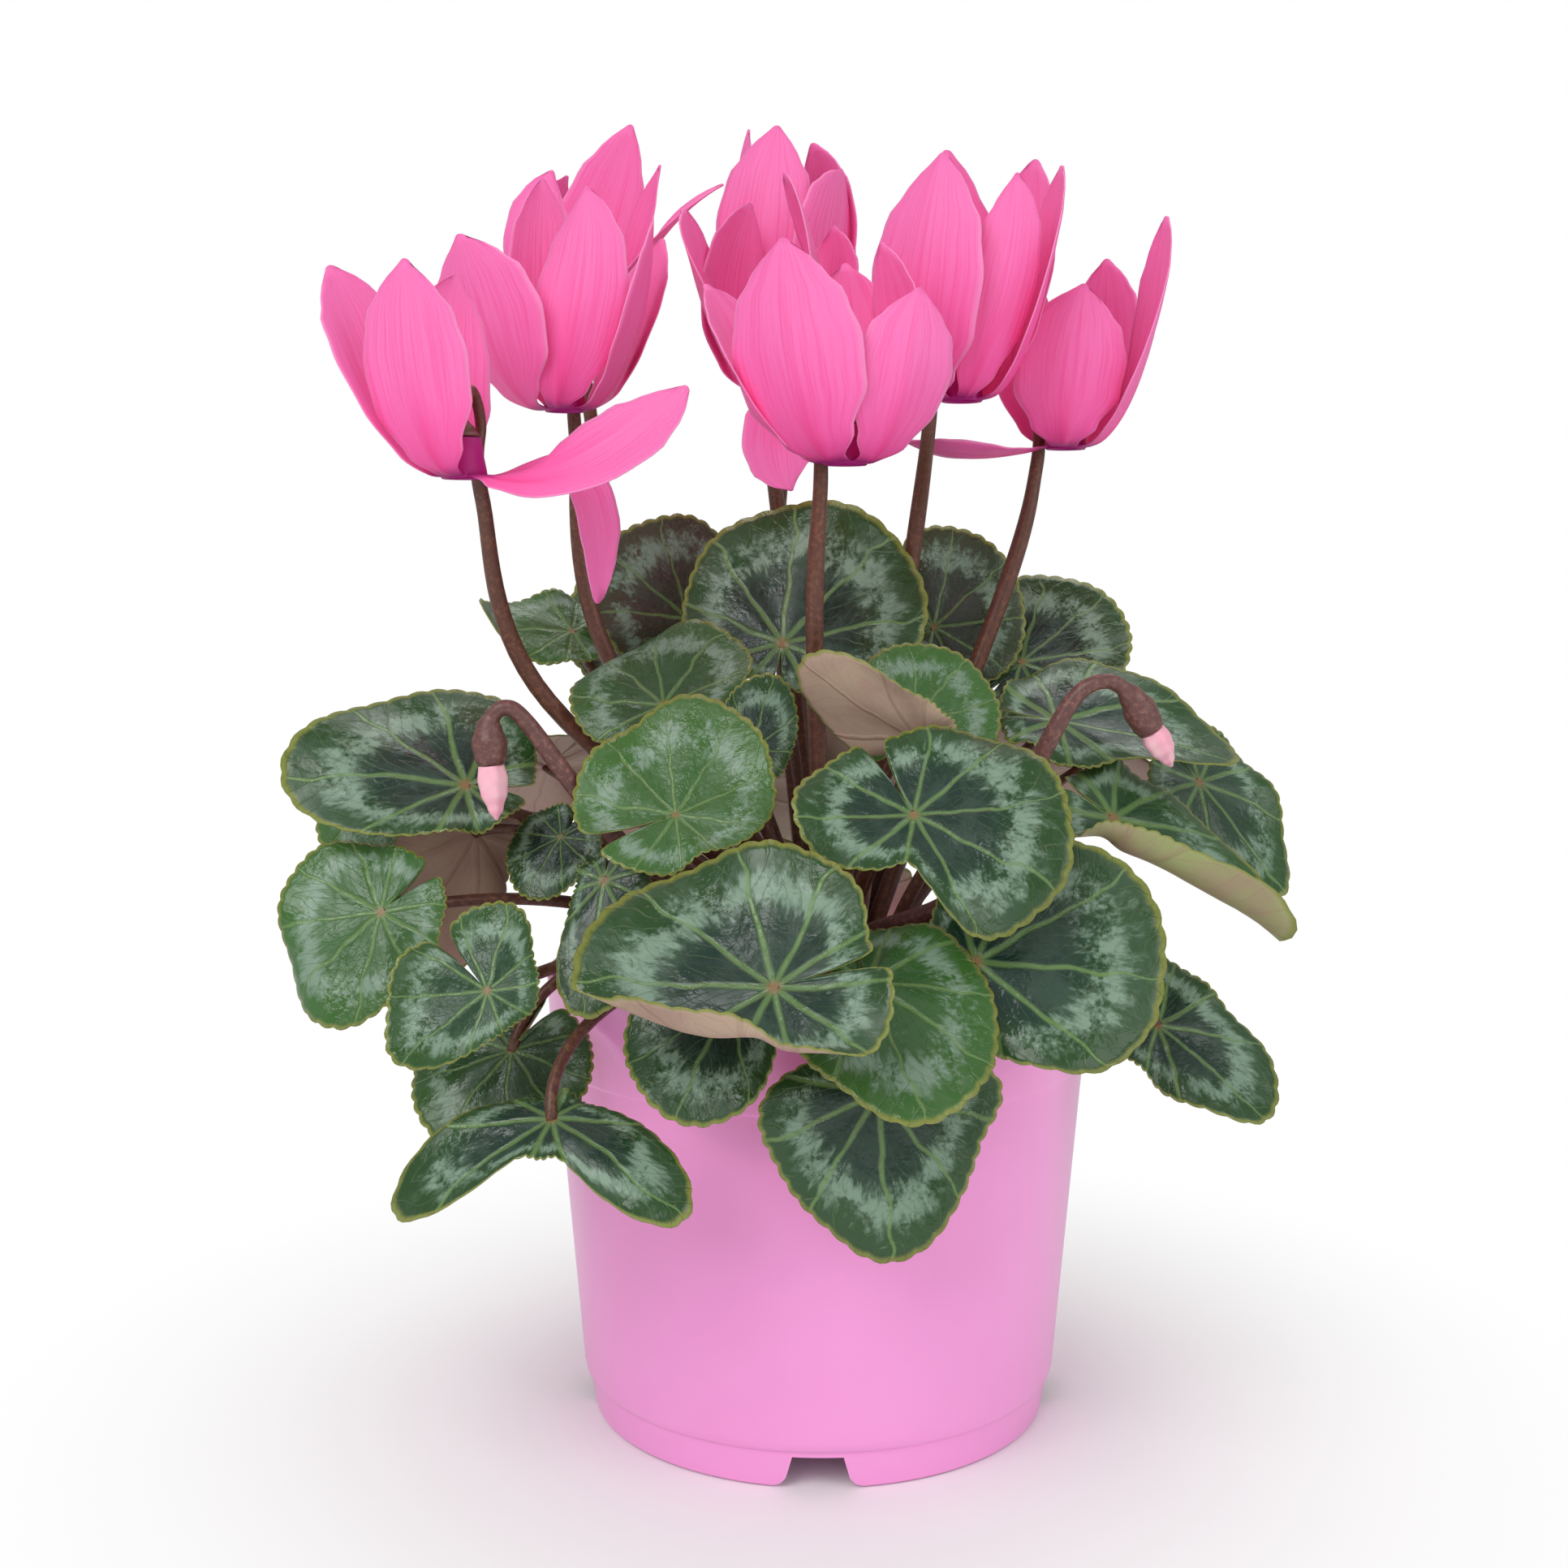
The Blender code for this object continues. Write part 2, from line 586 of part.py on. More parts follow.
def corolla(name, spec, surface, parent):
    """The five petals and the throat that they grow from, one closed body."""
    bm = bmesh.new()
    heights = {
        "top": (THROAT_TOP_RADIUS, THROAT_HEIGHT),
        "upper": (THROAT_RADIUS, 1.0),
        "lower": (THROAT_RADIUS, 0.2),
        "lip": (THROAT_TOP_RADIUS, 0.2),
    }
    start = math.radians(spec["behind"]) + math.pi / PETAL_COUNT
    first = start - 1.5 * math.tau / THROAT_SEGMENTS
    ring = {}
    for key, (radius, height) in heights.items():
        ring[key] = [
            bm.verts.new(
                (
                    radius * math.cos(first + math.tau * i / THROAT_SEGMENTS),
                    radius * math.sin(first + math.tau * i / THROAT_SEGMENTS),
                    height,
                )
            )
            for i in range(THROAT_SEGMENTS)
        ]
    join_rings(bm, ring["top"], ring["upper"])
    join_rings(bm, ring["lower"], ring["lip"])
    crown = bm.verts.new((0, 0, THROAT_HEIGHT))
    hollow = bm.verts.new((0, 0, 3.5))
    each = THROAT_SEGMENTS // PETAL_COUNT
    for i in range(THROAT_SEGMENTS):
        j = (i + 1) % THROAT_SEGMENTS
        bm.faces.new((ring["top"][i], ring["top"][j], crown))
        bm.faces.new((ring["lip"][i], ring["lip"][j], hollow))
        if i % each == each - 1:
            bm.faces.new((ring["upper"][i], ring["upper"][j], ring["lower"][j], ring["lower"][i]))
    for k, petal in enumerate(spec["petals"]):
        columns = range(k * each, k * each + each)
        root = [ring["upper"][i] for i in columns] + [ring["lower"][i] for i in reversed(columns)]
        petal_rings(bm, petal, start + math.tau * k / PETAL_COUNT, root)
    bmesh.ops.translate(bm, vec=Vector(spec["mouth"]), verts=bm.verts)
    return finish(name, bm, surface, parent, origin=spec["mouth"])


def bud_scape(name, spec, surface, parent):
    root, skin = tuber_point(*spec["root"], above=0.4)
    points = [root, root + skin * 5 + Vector((0, 0, 3))] + [Vector(p) for p in spec["way"]]
    points += [Vector(spec["calyx"]), Vector(spec["end"])]
    radii = [2.0, 2.0, 1.9, 1.9, 1.8, 1.7, 1.6, 1.6, 1.5, 1.5, 1.8, 3.4, 4.0, 3.0]
    return scape(name, points, radii, skin, surface, parent)


def bud(name, spec, surface, parent):
    """The furled petals, which point down out of the calyx."""
    end, tip = Vector(spec["end"]), Vector(spec["tip"])
    down = unit(tip - end)
    start = end + down * GAP
    shape = ((0.0, 2.4), (0.3, 2.9), (0.6, 2.4), (0.85, 1.4), (1.0, 0.4))
    bm = bmesh.new()
    sides = [math.tau * k / 8 for k in range(8)]
    rings = tube_rings(
        bm,
        [start.lerp(tip, t) for t, _ in shape],
        [down] * len(shape),
        [r for _, r in shape],
        (0.3, -0.9, 0.1),
        sides,
    )
    for first, second in zip(rings, rings[1:]):
        join_rings(bm, first, second)
    bm.faces.new(rings[0])
    bm.faces.new(rings[-1])
    return finish(name, bm, surface, parent, origin=spec["end"])


def pot(surface, parent):
    """A tapered pot with a plain band below its rim and a foot ring with drain notches."""
    band = RIM_RADIUS - 1.0
    body = band - BAND_STEP
    inner_base = BASE_RADIUS - WALL
    floor = BASE_HEIGHT + 1.2
    profile = [
        (0, floor),
        (inner_base - 2.0, floor),
        (inner_base, floor + 2.0),
        (body - WALL, BAND_BOTTOM - 1.0),
        (band - WALL, BAND_BOTTOM + 1.0),
        (RIM_RADIUS - WALL, RIM_HEIGHT),
        (RIM_RADIUS, RIM_HEIGHT),
        (band, BAND_BOTTOM),
        (body, BAND_BOTTOM - 0.6),
        (BASE_RADIUS + 0.5, BASE_HEIGHT + 2.4),
        (BASE_RADIUS, BASE_HEIGHT + 0.6),
        (FOOT_RADIUS, BASE_HEIGHT),
        (FOOT_RADIUS - 1.2, 0),
        (FOOT_RADIUS - 2.6, 0),
        (FOOT_RADIUS - WALL, BASE_HEIGHT),
        (0, BASE_HEIGHT),
    ]
    shell = finish("pot", turned(profile, POT_SEGMENTS), surface, parent)
    cutters = bmesh.new()
    half, flare = NOTCH_WIDTH / 2, NOTCH_WIDTH / 2 + NOTCH_FLARE
    outline = ((-flare, -1), (-half - 2.2, 1.6), (-half, NOTCH_TOP), (half, NOTCH_TOP), (half + 2.2, 1.6), (flare, -1))
    for k in range(NOTCH_COUNT):
        turn = Matrix.Rotation(math.tau * k / NOTCH_COUNT, 3, "Z")
        near = [cutters.verts.new(turn @ Vector((x, -FOOT_RADIUS + 8, z))) for x, z in outline]
        far = [cutters.verts.new(turn @ Vector((x, -FOOT_RADIUS - 4, z))) for x, z in outline]
        join_rings(cutters, near, far)
        cutters.faces.new(near)
        cutters.faces.new(far)
    cutter = finish("pot_notch_cutter", cutters, surface, parent)
    cutter.hide_render = True
    cutter.display_type = "WIRE"
    cut = shell.modifiers.new("notches", "BOOLEAN")
    cut.operation = "DIFFERENCE"
    cut.object = cutter
    return shell


def soil(surface, parent):
    """Potting soil that fills the pot to just under its rim."""
    inner_base = BASE_RADIUS - WALL
    band = RIM_RADIUS - 1.0
    body = band - BAND_STEP
    floor = BASE_HEIGHT + 1.2 + GAP
    slope = (RIM_RADIUS - band) / (RIM_HEIGHT - BAND_BOTTOM)
    profile = [
        (0, floor),
        (inner_base - 2.2, floor),
        (inner_base - GAP, floor + 2.0),
        (body - WALL - GAP, BAND_BOTTOM - 1.0),
        (band - WALL - GAP, BAND_BOTTOM + 1.0),
        (band - WALL - GAP + slope * 6, SOIL_LEVEL - 1.0),
        (RIM_RADIUS * 0.7, SOIL_LEVEL + SOIL_CROWN * 0.7),
        (0, SOIL_LEVEL + SOIL_CROWN),
    ]
    return finish("soil", turned(profile, SOIL_SEGMENTS), surface, parent)


def tuber(surface, parent):
    """The top of the tuber, which stands out of the soil and carries every stalk."""
    base = SOIL_LEVEL + SOIL_CROWN + GAP
    profile = [(0, base), (TUBER_RADIUS, base)]
    for share in (0.96, 0.86, 0.7, 0.48, 0.24):
        profile.append((TUBER_RADIUS * share, base + TUBER_HEIGHT * math.sqrt(1 - share**2)))
    profile.append((0, base + TUBER_HEIGHT))
    return finish("tuber", turned(profile, TUBER_SEGMENTS), surface, parent)


def main():
    for thing in list(bpy.data.objects):
        bpy.data.objects.remove(thing, do_unlink=True)
    plant = bpy.data.objects.new("plant", None)
    plant.location = Vector(POT_PLACE) * MM
    bpy.context.collection.objects.link(plant)

    pot(material("pot_plastic", (0.95, 0.38, 0.75), 0.32, 0.3), plant)
    soil(material("potting_soil", (0.035, 0.022, 0.014), 0.95), plant)
    tuber(material("tuber_skin", (0.12, 0.07, 0.04), 0.85), plant)
    for name, spec in LEAVES.items():
        green = material(name + "_surface", (0.045, 0.11, 0.06), 0.42, 0.2)
        leaf(name, spec, green, plant)
    for name, spec in FLOWERS.items():
        flower_scape(name + "_scape", spec, material(name + "_scape_skin", (0.22, 0.08, 0.04), 0.5), plant)
        corolla(name + "_petals", spec, material(name + "_petal_skin", (1.0, 0.13, 0.42), 0.45), plant)
    for name, spec in BUDS.items():
        bud_scape(name + "_scape", spec, material(name + "_scape_skin", (0.24, 0.1, 0.07), 0.55), plant)
        bud(name + "_petals", spec, material(name + "_petal_skin", (0.95, 0.6, 0.65), 0.45), plant)


main()
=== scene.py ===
import math

import bmesh
import bpy
from mathutils import Matrix, Vector, noise


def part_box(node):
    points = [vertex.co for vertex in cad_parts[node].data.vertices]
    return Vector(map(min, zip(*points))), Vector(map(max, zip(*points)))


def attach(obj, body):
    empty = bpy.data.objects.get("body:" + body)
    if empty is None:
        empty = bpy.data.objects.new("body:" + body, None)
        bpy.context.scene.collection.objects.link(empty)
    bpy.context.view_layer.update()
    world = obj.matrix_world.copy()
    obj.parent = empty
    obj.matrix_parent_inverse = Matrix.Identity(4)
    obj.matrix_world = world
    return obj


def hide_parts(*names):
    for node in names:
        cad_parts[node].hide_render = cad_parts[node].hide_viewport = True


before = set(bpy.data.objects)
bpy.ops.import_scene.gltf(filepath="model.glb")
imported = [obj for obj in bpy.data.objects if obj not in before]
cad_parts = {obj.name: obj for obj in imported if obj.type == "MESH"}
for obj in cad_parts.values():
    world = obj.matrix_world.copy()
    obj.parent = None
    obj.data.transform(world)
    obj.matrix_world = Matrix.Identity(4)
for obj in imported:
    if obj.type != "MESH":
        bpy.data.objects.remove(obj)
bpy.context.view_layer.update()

potLow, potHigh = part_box("pot")
potMiddle = (potLow + potHigh) / 2
# the plant and the pot are given in millimetres from the middle of the pot's foot
origin = Vector((potMiddle.x, potMiddle.y, potLow.z))
mm = 0.001


def unit(v):
    return Vector(v).normalized()


def across(v, axis):
    return unit(Vector(v) - axis * Vector(v).dot(axis))


def smooth(a, b, x):
    t = max(0.0, min(1.0, (x - a) / (b - a)))
    return t * t * (3 - 2 * t)


def fromTable(table, x):
    for (x0, y0), (x1, y1) in zip(table, table[1:]):
        if x <= x1:
            t = (x - x0) / (x1 - x0)
            return y0 + (y1 - y0) * t * t * (3 - 2 * t)
    return table[-1][1]


def bezier(p, t):
    s = 1 - t
    return p[0] * s**3 + p[1] * 3 * s * s * t + p[2] * 3 * s * t * t + p[3] * t**3


def slope(p, t):
    s = 1 - t
    return unit((p[1] - p[0]) * s * s + (p[2] - p[1]) * 2 * s * t + (p[3] - p[2]) * t * t)


def through(points, t):
    place = min(t * (len(points) - 1), len(points) - 1.0001)
    i = int(place)
    f = place - i
    a = points[i - 1] if i else points[0] * 2 - points[1]
    b, c = points[i], points[i + 1]
    d = points[i + 2] if i + 2 < len(points) else points[-1] * 2 - points[-2]
    return b + 0.5 * f * (c - a + f * (2 * a - 5 * b + 4 * c - d + f * (3 * (b - c) + d - a)))


# shader helper: short names for the node links that every surface below uses
class Shade:
    def __init__(self, name, rough=0.5, coat=0.0, specular=0.5):
        self.mat = bpy.data.materials.new(name)
        self.mat.use_nodes = True
        self.tree = self.mat.node_tree
        self.bsdf = self.tree.nodes["Principled BSDF"]
        self.bsdf.inputs["Roughness"].default_value = rough
        self.bsdf.inputs["Coat Weight"].default_value = coat
        self.bsdf.inputs["Coat Roughness"].default_value = 0.25
        self.bsdf.inputs["Specular IOR Level"].default_value = specular

    def put(self, node, slot, value):
        if isinstance(value, bpy.types.NodeSocket):
            self.tree.links.new(value, node.inputs[slot])
        else:
            node.inputs[slot].default_value = value

    def calc(self, op, a, b=0.0):
        node = self.tree.nodes.new("ShaderNodeMath")
        node.operation = op
        self.put(node, 0, a)
        self.put(node, 1, b)
        return node.outputs[0]

    def ramp(self, value, low, high, top=1.0):
        node = self.tree.nodes.new("ShaderNodeMapRange")
        node.interpolation_type = "SMOOTHSTEP"
        self.put(node, "Value", value)
        node.inputs["From Min"].default_value = low
        node.inputs["From Max"].default_value = high
        node.inputs["To Max"].default_value = top
        return node.outputs[0]

    def mix(self, share, a, b):
        node = self.tree.nodes.new("ShaderNodeMix")
        node.data_type = "RGBA"
        self.put(node, 0, share)
        self.put(node, 6, a if isinstance(a, bpy.types.NodeSocket) else (*a, 1.0))
        self.put(node, 7, b if isinstance(b, bpy.types.NodeSocket) else (*b, 1.0))
        return node.outputs[2]

    def attribute(self, name):
        node = self.tree.nodes.new("ShaderNodeAttribute")
        node.attribute_name = name
        return node.outputs

    def noise(self, vector, scale, detail=3.0, rough=0.55):
        node = self.tree.nodes.new("ShaderNodeTexNoise")
        self.put(node, "Vector", vector)
        node.inputs["Scale"].default_value = scale
        node.inputs["Detail"].default_value = detail
        node.inputs["Roughness"].default_value = rough
        return node.outputs["Fac"]

    def join(self, x, y, z=0.0):
        node = self.tree.nodes.new("ShaderNodeCombineXYZ")
        self.put(node, 0, x)
        self.put(node, 1, y)
        self.put(node, 2, z)
        return node.outputs[0]

    def bump(self, height, strength, distance):
        node = self.tree.nodes.new("ShaderNodeBump")
        self.put(node, "Height", height)
        node.inputs["Strength"].default_value = strength
        node.inputs["Distance"].default_value = distance
        self.put(self.bsdf, "Normal", node.outputs[0])

    def place(self):
        node = self.tree.nodes.new("ShaderNodeTexCoord")
        return node.outputs["Object"]


leafLook = {
    "deep": (0.008, 0.034, 0.022), "green": (0.018, 0.066, 0.013), "silver": (0.21, 0.32, 0.23),
    "vein": (0.15, 0.27, 0.08), "margin": (0.24, 0.27, 0.05), "brown": (0.075, 0.06, 0.04),
    "under": (0.5, 0.34, 0.27), "underGreen": (0.3, 0.35, 0.13), "underPatch": (0.38, 0.2, 0.19),
    "underVein": (0.33, 0.19, 0.13),
    "patch": (0.03, 0.085, 0.045), "young": (0.07, 0.21, 0.035), "centre": (0.3, 0.16, 0.07),
    "bandIn": (0.5, 0.64), "bandOut": (0.86, 0.7), "marble": (0.54, 0.74), "hem": (0.955, 1.0),
}

# main veins spread from the stalk, side veins lean off them
veinMake = {
    "count": 10, "wander": 0.22, "width": 0.024, "taper": 0.014,
    "sideCount": 6.0, "sideLean": 0.75, "sideWobble": 0.8,
}


def veinLines(s):
    # the place on the flattened blade, its angle and distance from the stalk, and both kinds of vein
    flat = s.attribute("flat")["Vector"]
    split = s.tree.nodes.new("ShaderNodeSeparateXYZ")
    s.put(split, 0, flat)
    x, y = split.outputs[0], split.outputs[1]
    angle = s.calc("ARCTAN2", y, x)
    far = s.calc("SQRT", s.calc("ADD", s.calc("MULTIPLY", x, x), s.calc("MULTIPLY", y, y)))
    wander = s.calc("MULTIPLY", s.calc("SUBTRACT", s.noise(flat, 3.5, 1.0), 0.5), veinMake["wander"])
    turned = s.calc("MULTIPLY", s.calc("ADD", angle, wander), veinMake["count"] / math.tau)
    turned = s.calc("ADD", turned, 0.5)
    off = s.calc("SUBTRACT", s.calc("FRACT", turned), 0.5)
    apart = s.calc("ABSOLUTE", off)
    gap = s.calc("MULTIPLY", s.calc("MULTIPLY", apart, math.tau / veinMake["count"]), far)
    width = s.calc("SUBTRACT", veinMake["width"], s.calc("MULTIPLY", far, veinMake["taper"]))
    main = s.ramp(s.calc("DIVIDE", gap, width), 1.2, 0.25)
    lean = s.calc("SUBTRACT", far, s.calc("MULTIPLY", apart, veinMake["sideLean"]))
    lean = s.calc("MULTIPLY", lean, veinMake["sideCount"])
    wobble = s.calc("MULTIPLY", s.noise(flat, 6.0, 1.0), veinMake["sideWobble"])
    side = s.calc("ABSOLUTE", s.calc("SUBTRACT", s.calc("FRACT", s.calc("ADD", lean, wobble)), 0.5))
    return flat, angle, far, main, s.ramp(side, 0.07, 0.015)


def leafTop():
    s = Shade("leafTop", coat=0.15)
    flat, angle, far, main, side = veinLines(s)
    rim = s.attribute("rim")["Fac"]
    tone = s.attribute("tone")["Fac"]
    spread = s.join(s.calc("MULTIPLY", angle, 5.0), s.calc("MULTIPLY", far, 2.2), tone)
    streak = s.noise(spread, 2.6, 5.0, 0.65)
    patch = s.noise(flat, 5.0, 4.0, 0.6)
    fine = s.noise(flat, 34.0, 2.0, 0.6)
    shifted = s.calc("ADD", rim, s.calc("MULTIPLY", s.calc("SUBTRACT", streak, 0.5), 0.55))
    band = s.calc("MULTIPLY", s.ramp(shifted, *leafLook["bandIn"]), s.ramp(shifted, *leafLook["bandOut"]))
    marble = s.calc("ADD", patch, s.calc("MULTIPLY", fine, 0.35))
    band = s.calc("MULTIPLY", band, s.ramp(marble, *leafLook["marble"]))
    base = s.mix(s.ramp(rim, 0.35, 0.8), leafLook["deep"], leafLook["green"])
    base = s.mix(s.calc("MULTIPLY", s.ramp(patch, 0.45, 0.75), 0.4), base, leafLook["patch"])
    base = s.mix(s.calc("MULTIPLY", s.ramp(tone, 0.5, 1.0), 0.75), base, leafLook["brown"])
    base = s.mix(s.calc("MULTIPLY", s.ramp(tone, 0.3, 0.0), 0.6), base, leafLook["young"])
    base = s.mix(s.calc("MULTIPLY", band, 0.95), base, leafLook["silver"])
    base = s.mix(s.calc("MULTIPLY", side, 0.16), base, leafLook["vein"])
    base = s.mix(s.calc("MULTIPLY", main, 0.75), base, leafLook["vein"])
    base = s.mix(s.ramp(far, 0.06, 0.0), base, leafLook["centre"])
    hem = s.calc("ADD", rim, s.calc("MULTIPLY", fine, 0.02))
    base = s.mix(s.ramp(hem, *leafLook["hem"]), base, leafLook["margin"])
    s.put(s.bsdf, "Base Color", base)
    s.put(s.bsdf, "Roughness", s.ramp(patch, 0.2, 0.8, 0.62))
    grain = s.calc("SUBTRACT", s.noise(flat, 9.0, 3.0), s.calc("MULTIPLY", s.calc("ADD", main, side), 0.35))
    s.bump(grain, 0.55, 0.0009)
    return s.mat


def leafUnder():
    s = Shade("leafUnder", 0.55)
    flat, angle, far, main, side = veinLines(s)
    tone = s.attribute("under")["Fac"]
    patch = s.noise(flat, 4.0, 3.0)
    base = s.mix(tone, leafLook["under"], leafLook["underGreen"])
    base = s.mix(s.calc("MULTIPLY", s.ramp(patch, 0.4, 0.75), 0.5), base, leafLook["underPatch"])
    base = s.mix(s.calc("MULTIPLY", s.calc("MAXIMUM", main, side), 0.3), base, leafLook["underVein"])
    base = s.mix(s.ramp(s.attribute("rim")["Fac"], 0.95, 1.0), base, leafLook["margin"])
    s.put(s.bsdf, "Base Color", base)
    s.bump(s.calc("ADD", main, patch), 0.4, 0.0006)
    return s.mat


def stalkSkin(name, light, dark):
    s = Shade(name, 0.42, 0.1)
    at = s.place()
    base = s.mix(s.ramp(s.noise(at, 900.0, 2.0, 0.7), 0.45, 0.7), dark, light)
    base = s.mix(s.calc("MULTIPLY", s.ramp(s.noise(at, 60.0, 2.0), 0.4, 0.7), 0.5), base, dark)
    s.put(s.bsdf, "Base Color", base)
    s.bump(s.noise(at, 700.0, 2.0), 0.35, 0.0003)
    return s.mat


petalLook = {
    "pale": (1.0, 0.2, 0.52), "pink": (1.0, 0.1, 0.4), "deep": (0.9, 0.035, 0.25),
    "mouth": (0.42, 0.008, 0.2), "edge": (1.0, 0.36, 0.64),
}


def petalSkin():
    s = Shade("petalSkin", 0.5, 0.0, 0.35)
    flat = s.attribute("flat")["Vector"]
    split = s.tree.nodes.new("ShaderNodeSeparateXYZ")
    s.put(split, 0, flat)
    side, along = split.outputs[0], split.outputs[1]
    wide = s.calc("ABSOLUTE", side)
    tone = s.attribute("tone")["Fac"]
    stretched = s.join(s.calc("MULTIPLY", side, 9.0), s.calc("MULTIPLY", along, 0.9), tone)
    streak = s.noise(stretched, 2.4, 4.0, 0.6)
    cloud = s.noise(flat, 2.2, 2.0)
    outer = s.calc("ADD", along, s.calc("MULTIPLY", cloud, 0.3))
    base = s.mix(s.ramp(outer, 0.25, 1.05), petalLook["pink"], petalLook["pale"])
    base = s.mix(s.calc("MULTIPLY", s.ramp(streak, 0.42, 0.72), 0.4), base, petalLook["deep"])
    crease = s.calc("MULTIPLY", s.ramp(wide, 0.3, 0.0), s.ramp(along, 0.75, 0.15))
    base = s.mix(s.calc("MULTIPLY", crease, 0.65), base, petalLook["deep"])
    base = s.mix(s.ramp(wide, 0.9, 1.0, 0.55), base, petalLook["edge"])
    foot = s.calc("ADD", along, s.calc("MULTIPLY", s.calc("SUBTRACT", streak, 0.5), 0.12))
    base = s.mix(s.ramp(foot, 0.2, 0.05), base, petalLook["mouth"])
    s.put(s.bsdf, "Base Color", base)
    s.bsdf.inputs["Subsurface Weight"].default_value = 0.12
    s.bsdf.inputs["Subsurface Radius"].default_value = (0.003, 0.001, 0.0015)
    s.bsdf.inputs["Subsurface Scale"].default_value = 1.0
    s.bump(streak, 0.3, 0.0006)
    return s.mat


def plainSkin(name, light, dark, scale, rough, coat=0.0, bump=0.3, depth=0.0006):
    s = Shade(name, rough, coat)
    at = s.place()
    cloud = s.noise(at, scale, 4.0, 0.6)
    s.put(s.bsdf, "Base Color", s.mix(s.ramp(cloud, 0.35, 0.68), dark, light))
    s.bump(cloud, bump, depth)
    return s.mat


def finish(name, bm, mats, node):
    bmesh.ops.recalc_face_normals(bm, faces=bm.faces)
    bmesh.ops.scale(bm, vec=Vector((mm, mm, mm)), verts=bm.verts)
    bmesh.ops.translate(bm, vec=origin, verts=bm.verts)
    mesh = bpy.data.meshes.new(name)
    bm.to_mesh(mesh)
    bm.free()
    for mat in mats:
        mesh.materials.append(mat)
    for face in mesh.polygons:
        face.use_smooth = True
    piece = bpy.data.objects.new(name, mesh)
    bpy.context.collection.objects.link(piece)
    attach(piece, "root")
    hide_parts(node)
    return piece


def joinRings(bm, a, b, index=0):
    made = []
    for i in range(len(a)):
        j = (i + 1) % len(a)
        face = bm.faces.new((a[i], a[j], b[j], b[i]))
        face.material_index = index
        made.append(face)
    return made


def tube(bm, centres, directions, radii, side, sides, index=0, ridge=0.0):
    rings = []
    along = directions[0]
    side = across(side, along)
    for centre, direction, radius in zip(centres, directions, radii):
        side = across(along.rotation_difference(direction) @ side, direction)
        along = direction
        other = along.cross(side)
        ring = []
        for k in range(sides):
            a = math.tau * k / sides
            r = radius * (1 + ridge * math.cos(5 * a))
            ring.append(bm.verts.new(centre + (side * math.cos(a) + other * math.sin(a)) * r))
        rings.append(ring)
    for a, b in zip(rings, rings[1:]):
        joinRings(bm, a, b, index)
    bm.faces.new(rings[0]).material_index = index
    bm.faces.new(rings[-1]).material_index = index
    return rings


tuberShape = {
    "base": 88.5, "radius": 22.0, "height": 11.0, "skin": 21.9,
    "rings": 20, "climb": 1.55, "rough": 0.5, "seed": 9.0,
}


def tuberPoint(azimuth, radius, above=0.3):
    rise = tuberShape["height"] * math.sqrt(max(0, 1 - (radius / tuberShape["radius"]) ** 2))
    a = math.radians(azimuth)
    out = Vector((math.cos(a), math.sin(a), 0))
    normal = unit(out * radius / tuberShape["radius"] ** 2 + Vector((0, 0, rise / tuberShape["height"] ** 2)))
    return out * radius + Vector((0, 0, tuberShape["base"] + rise)) + normal * above, normal


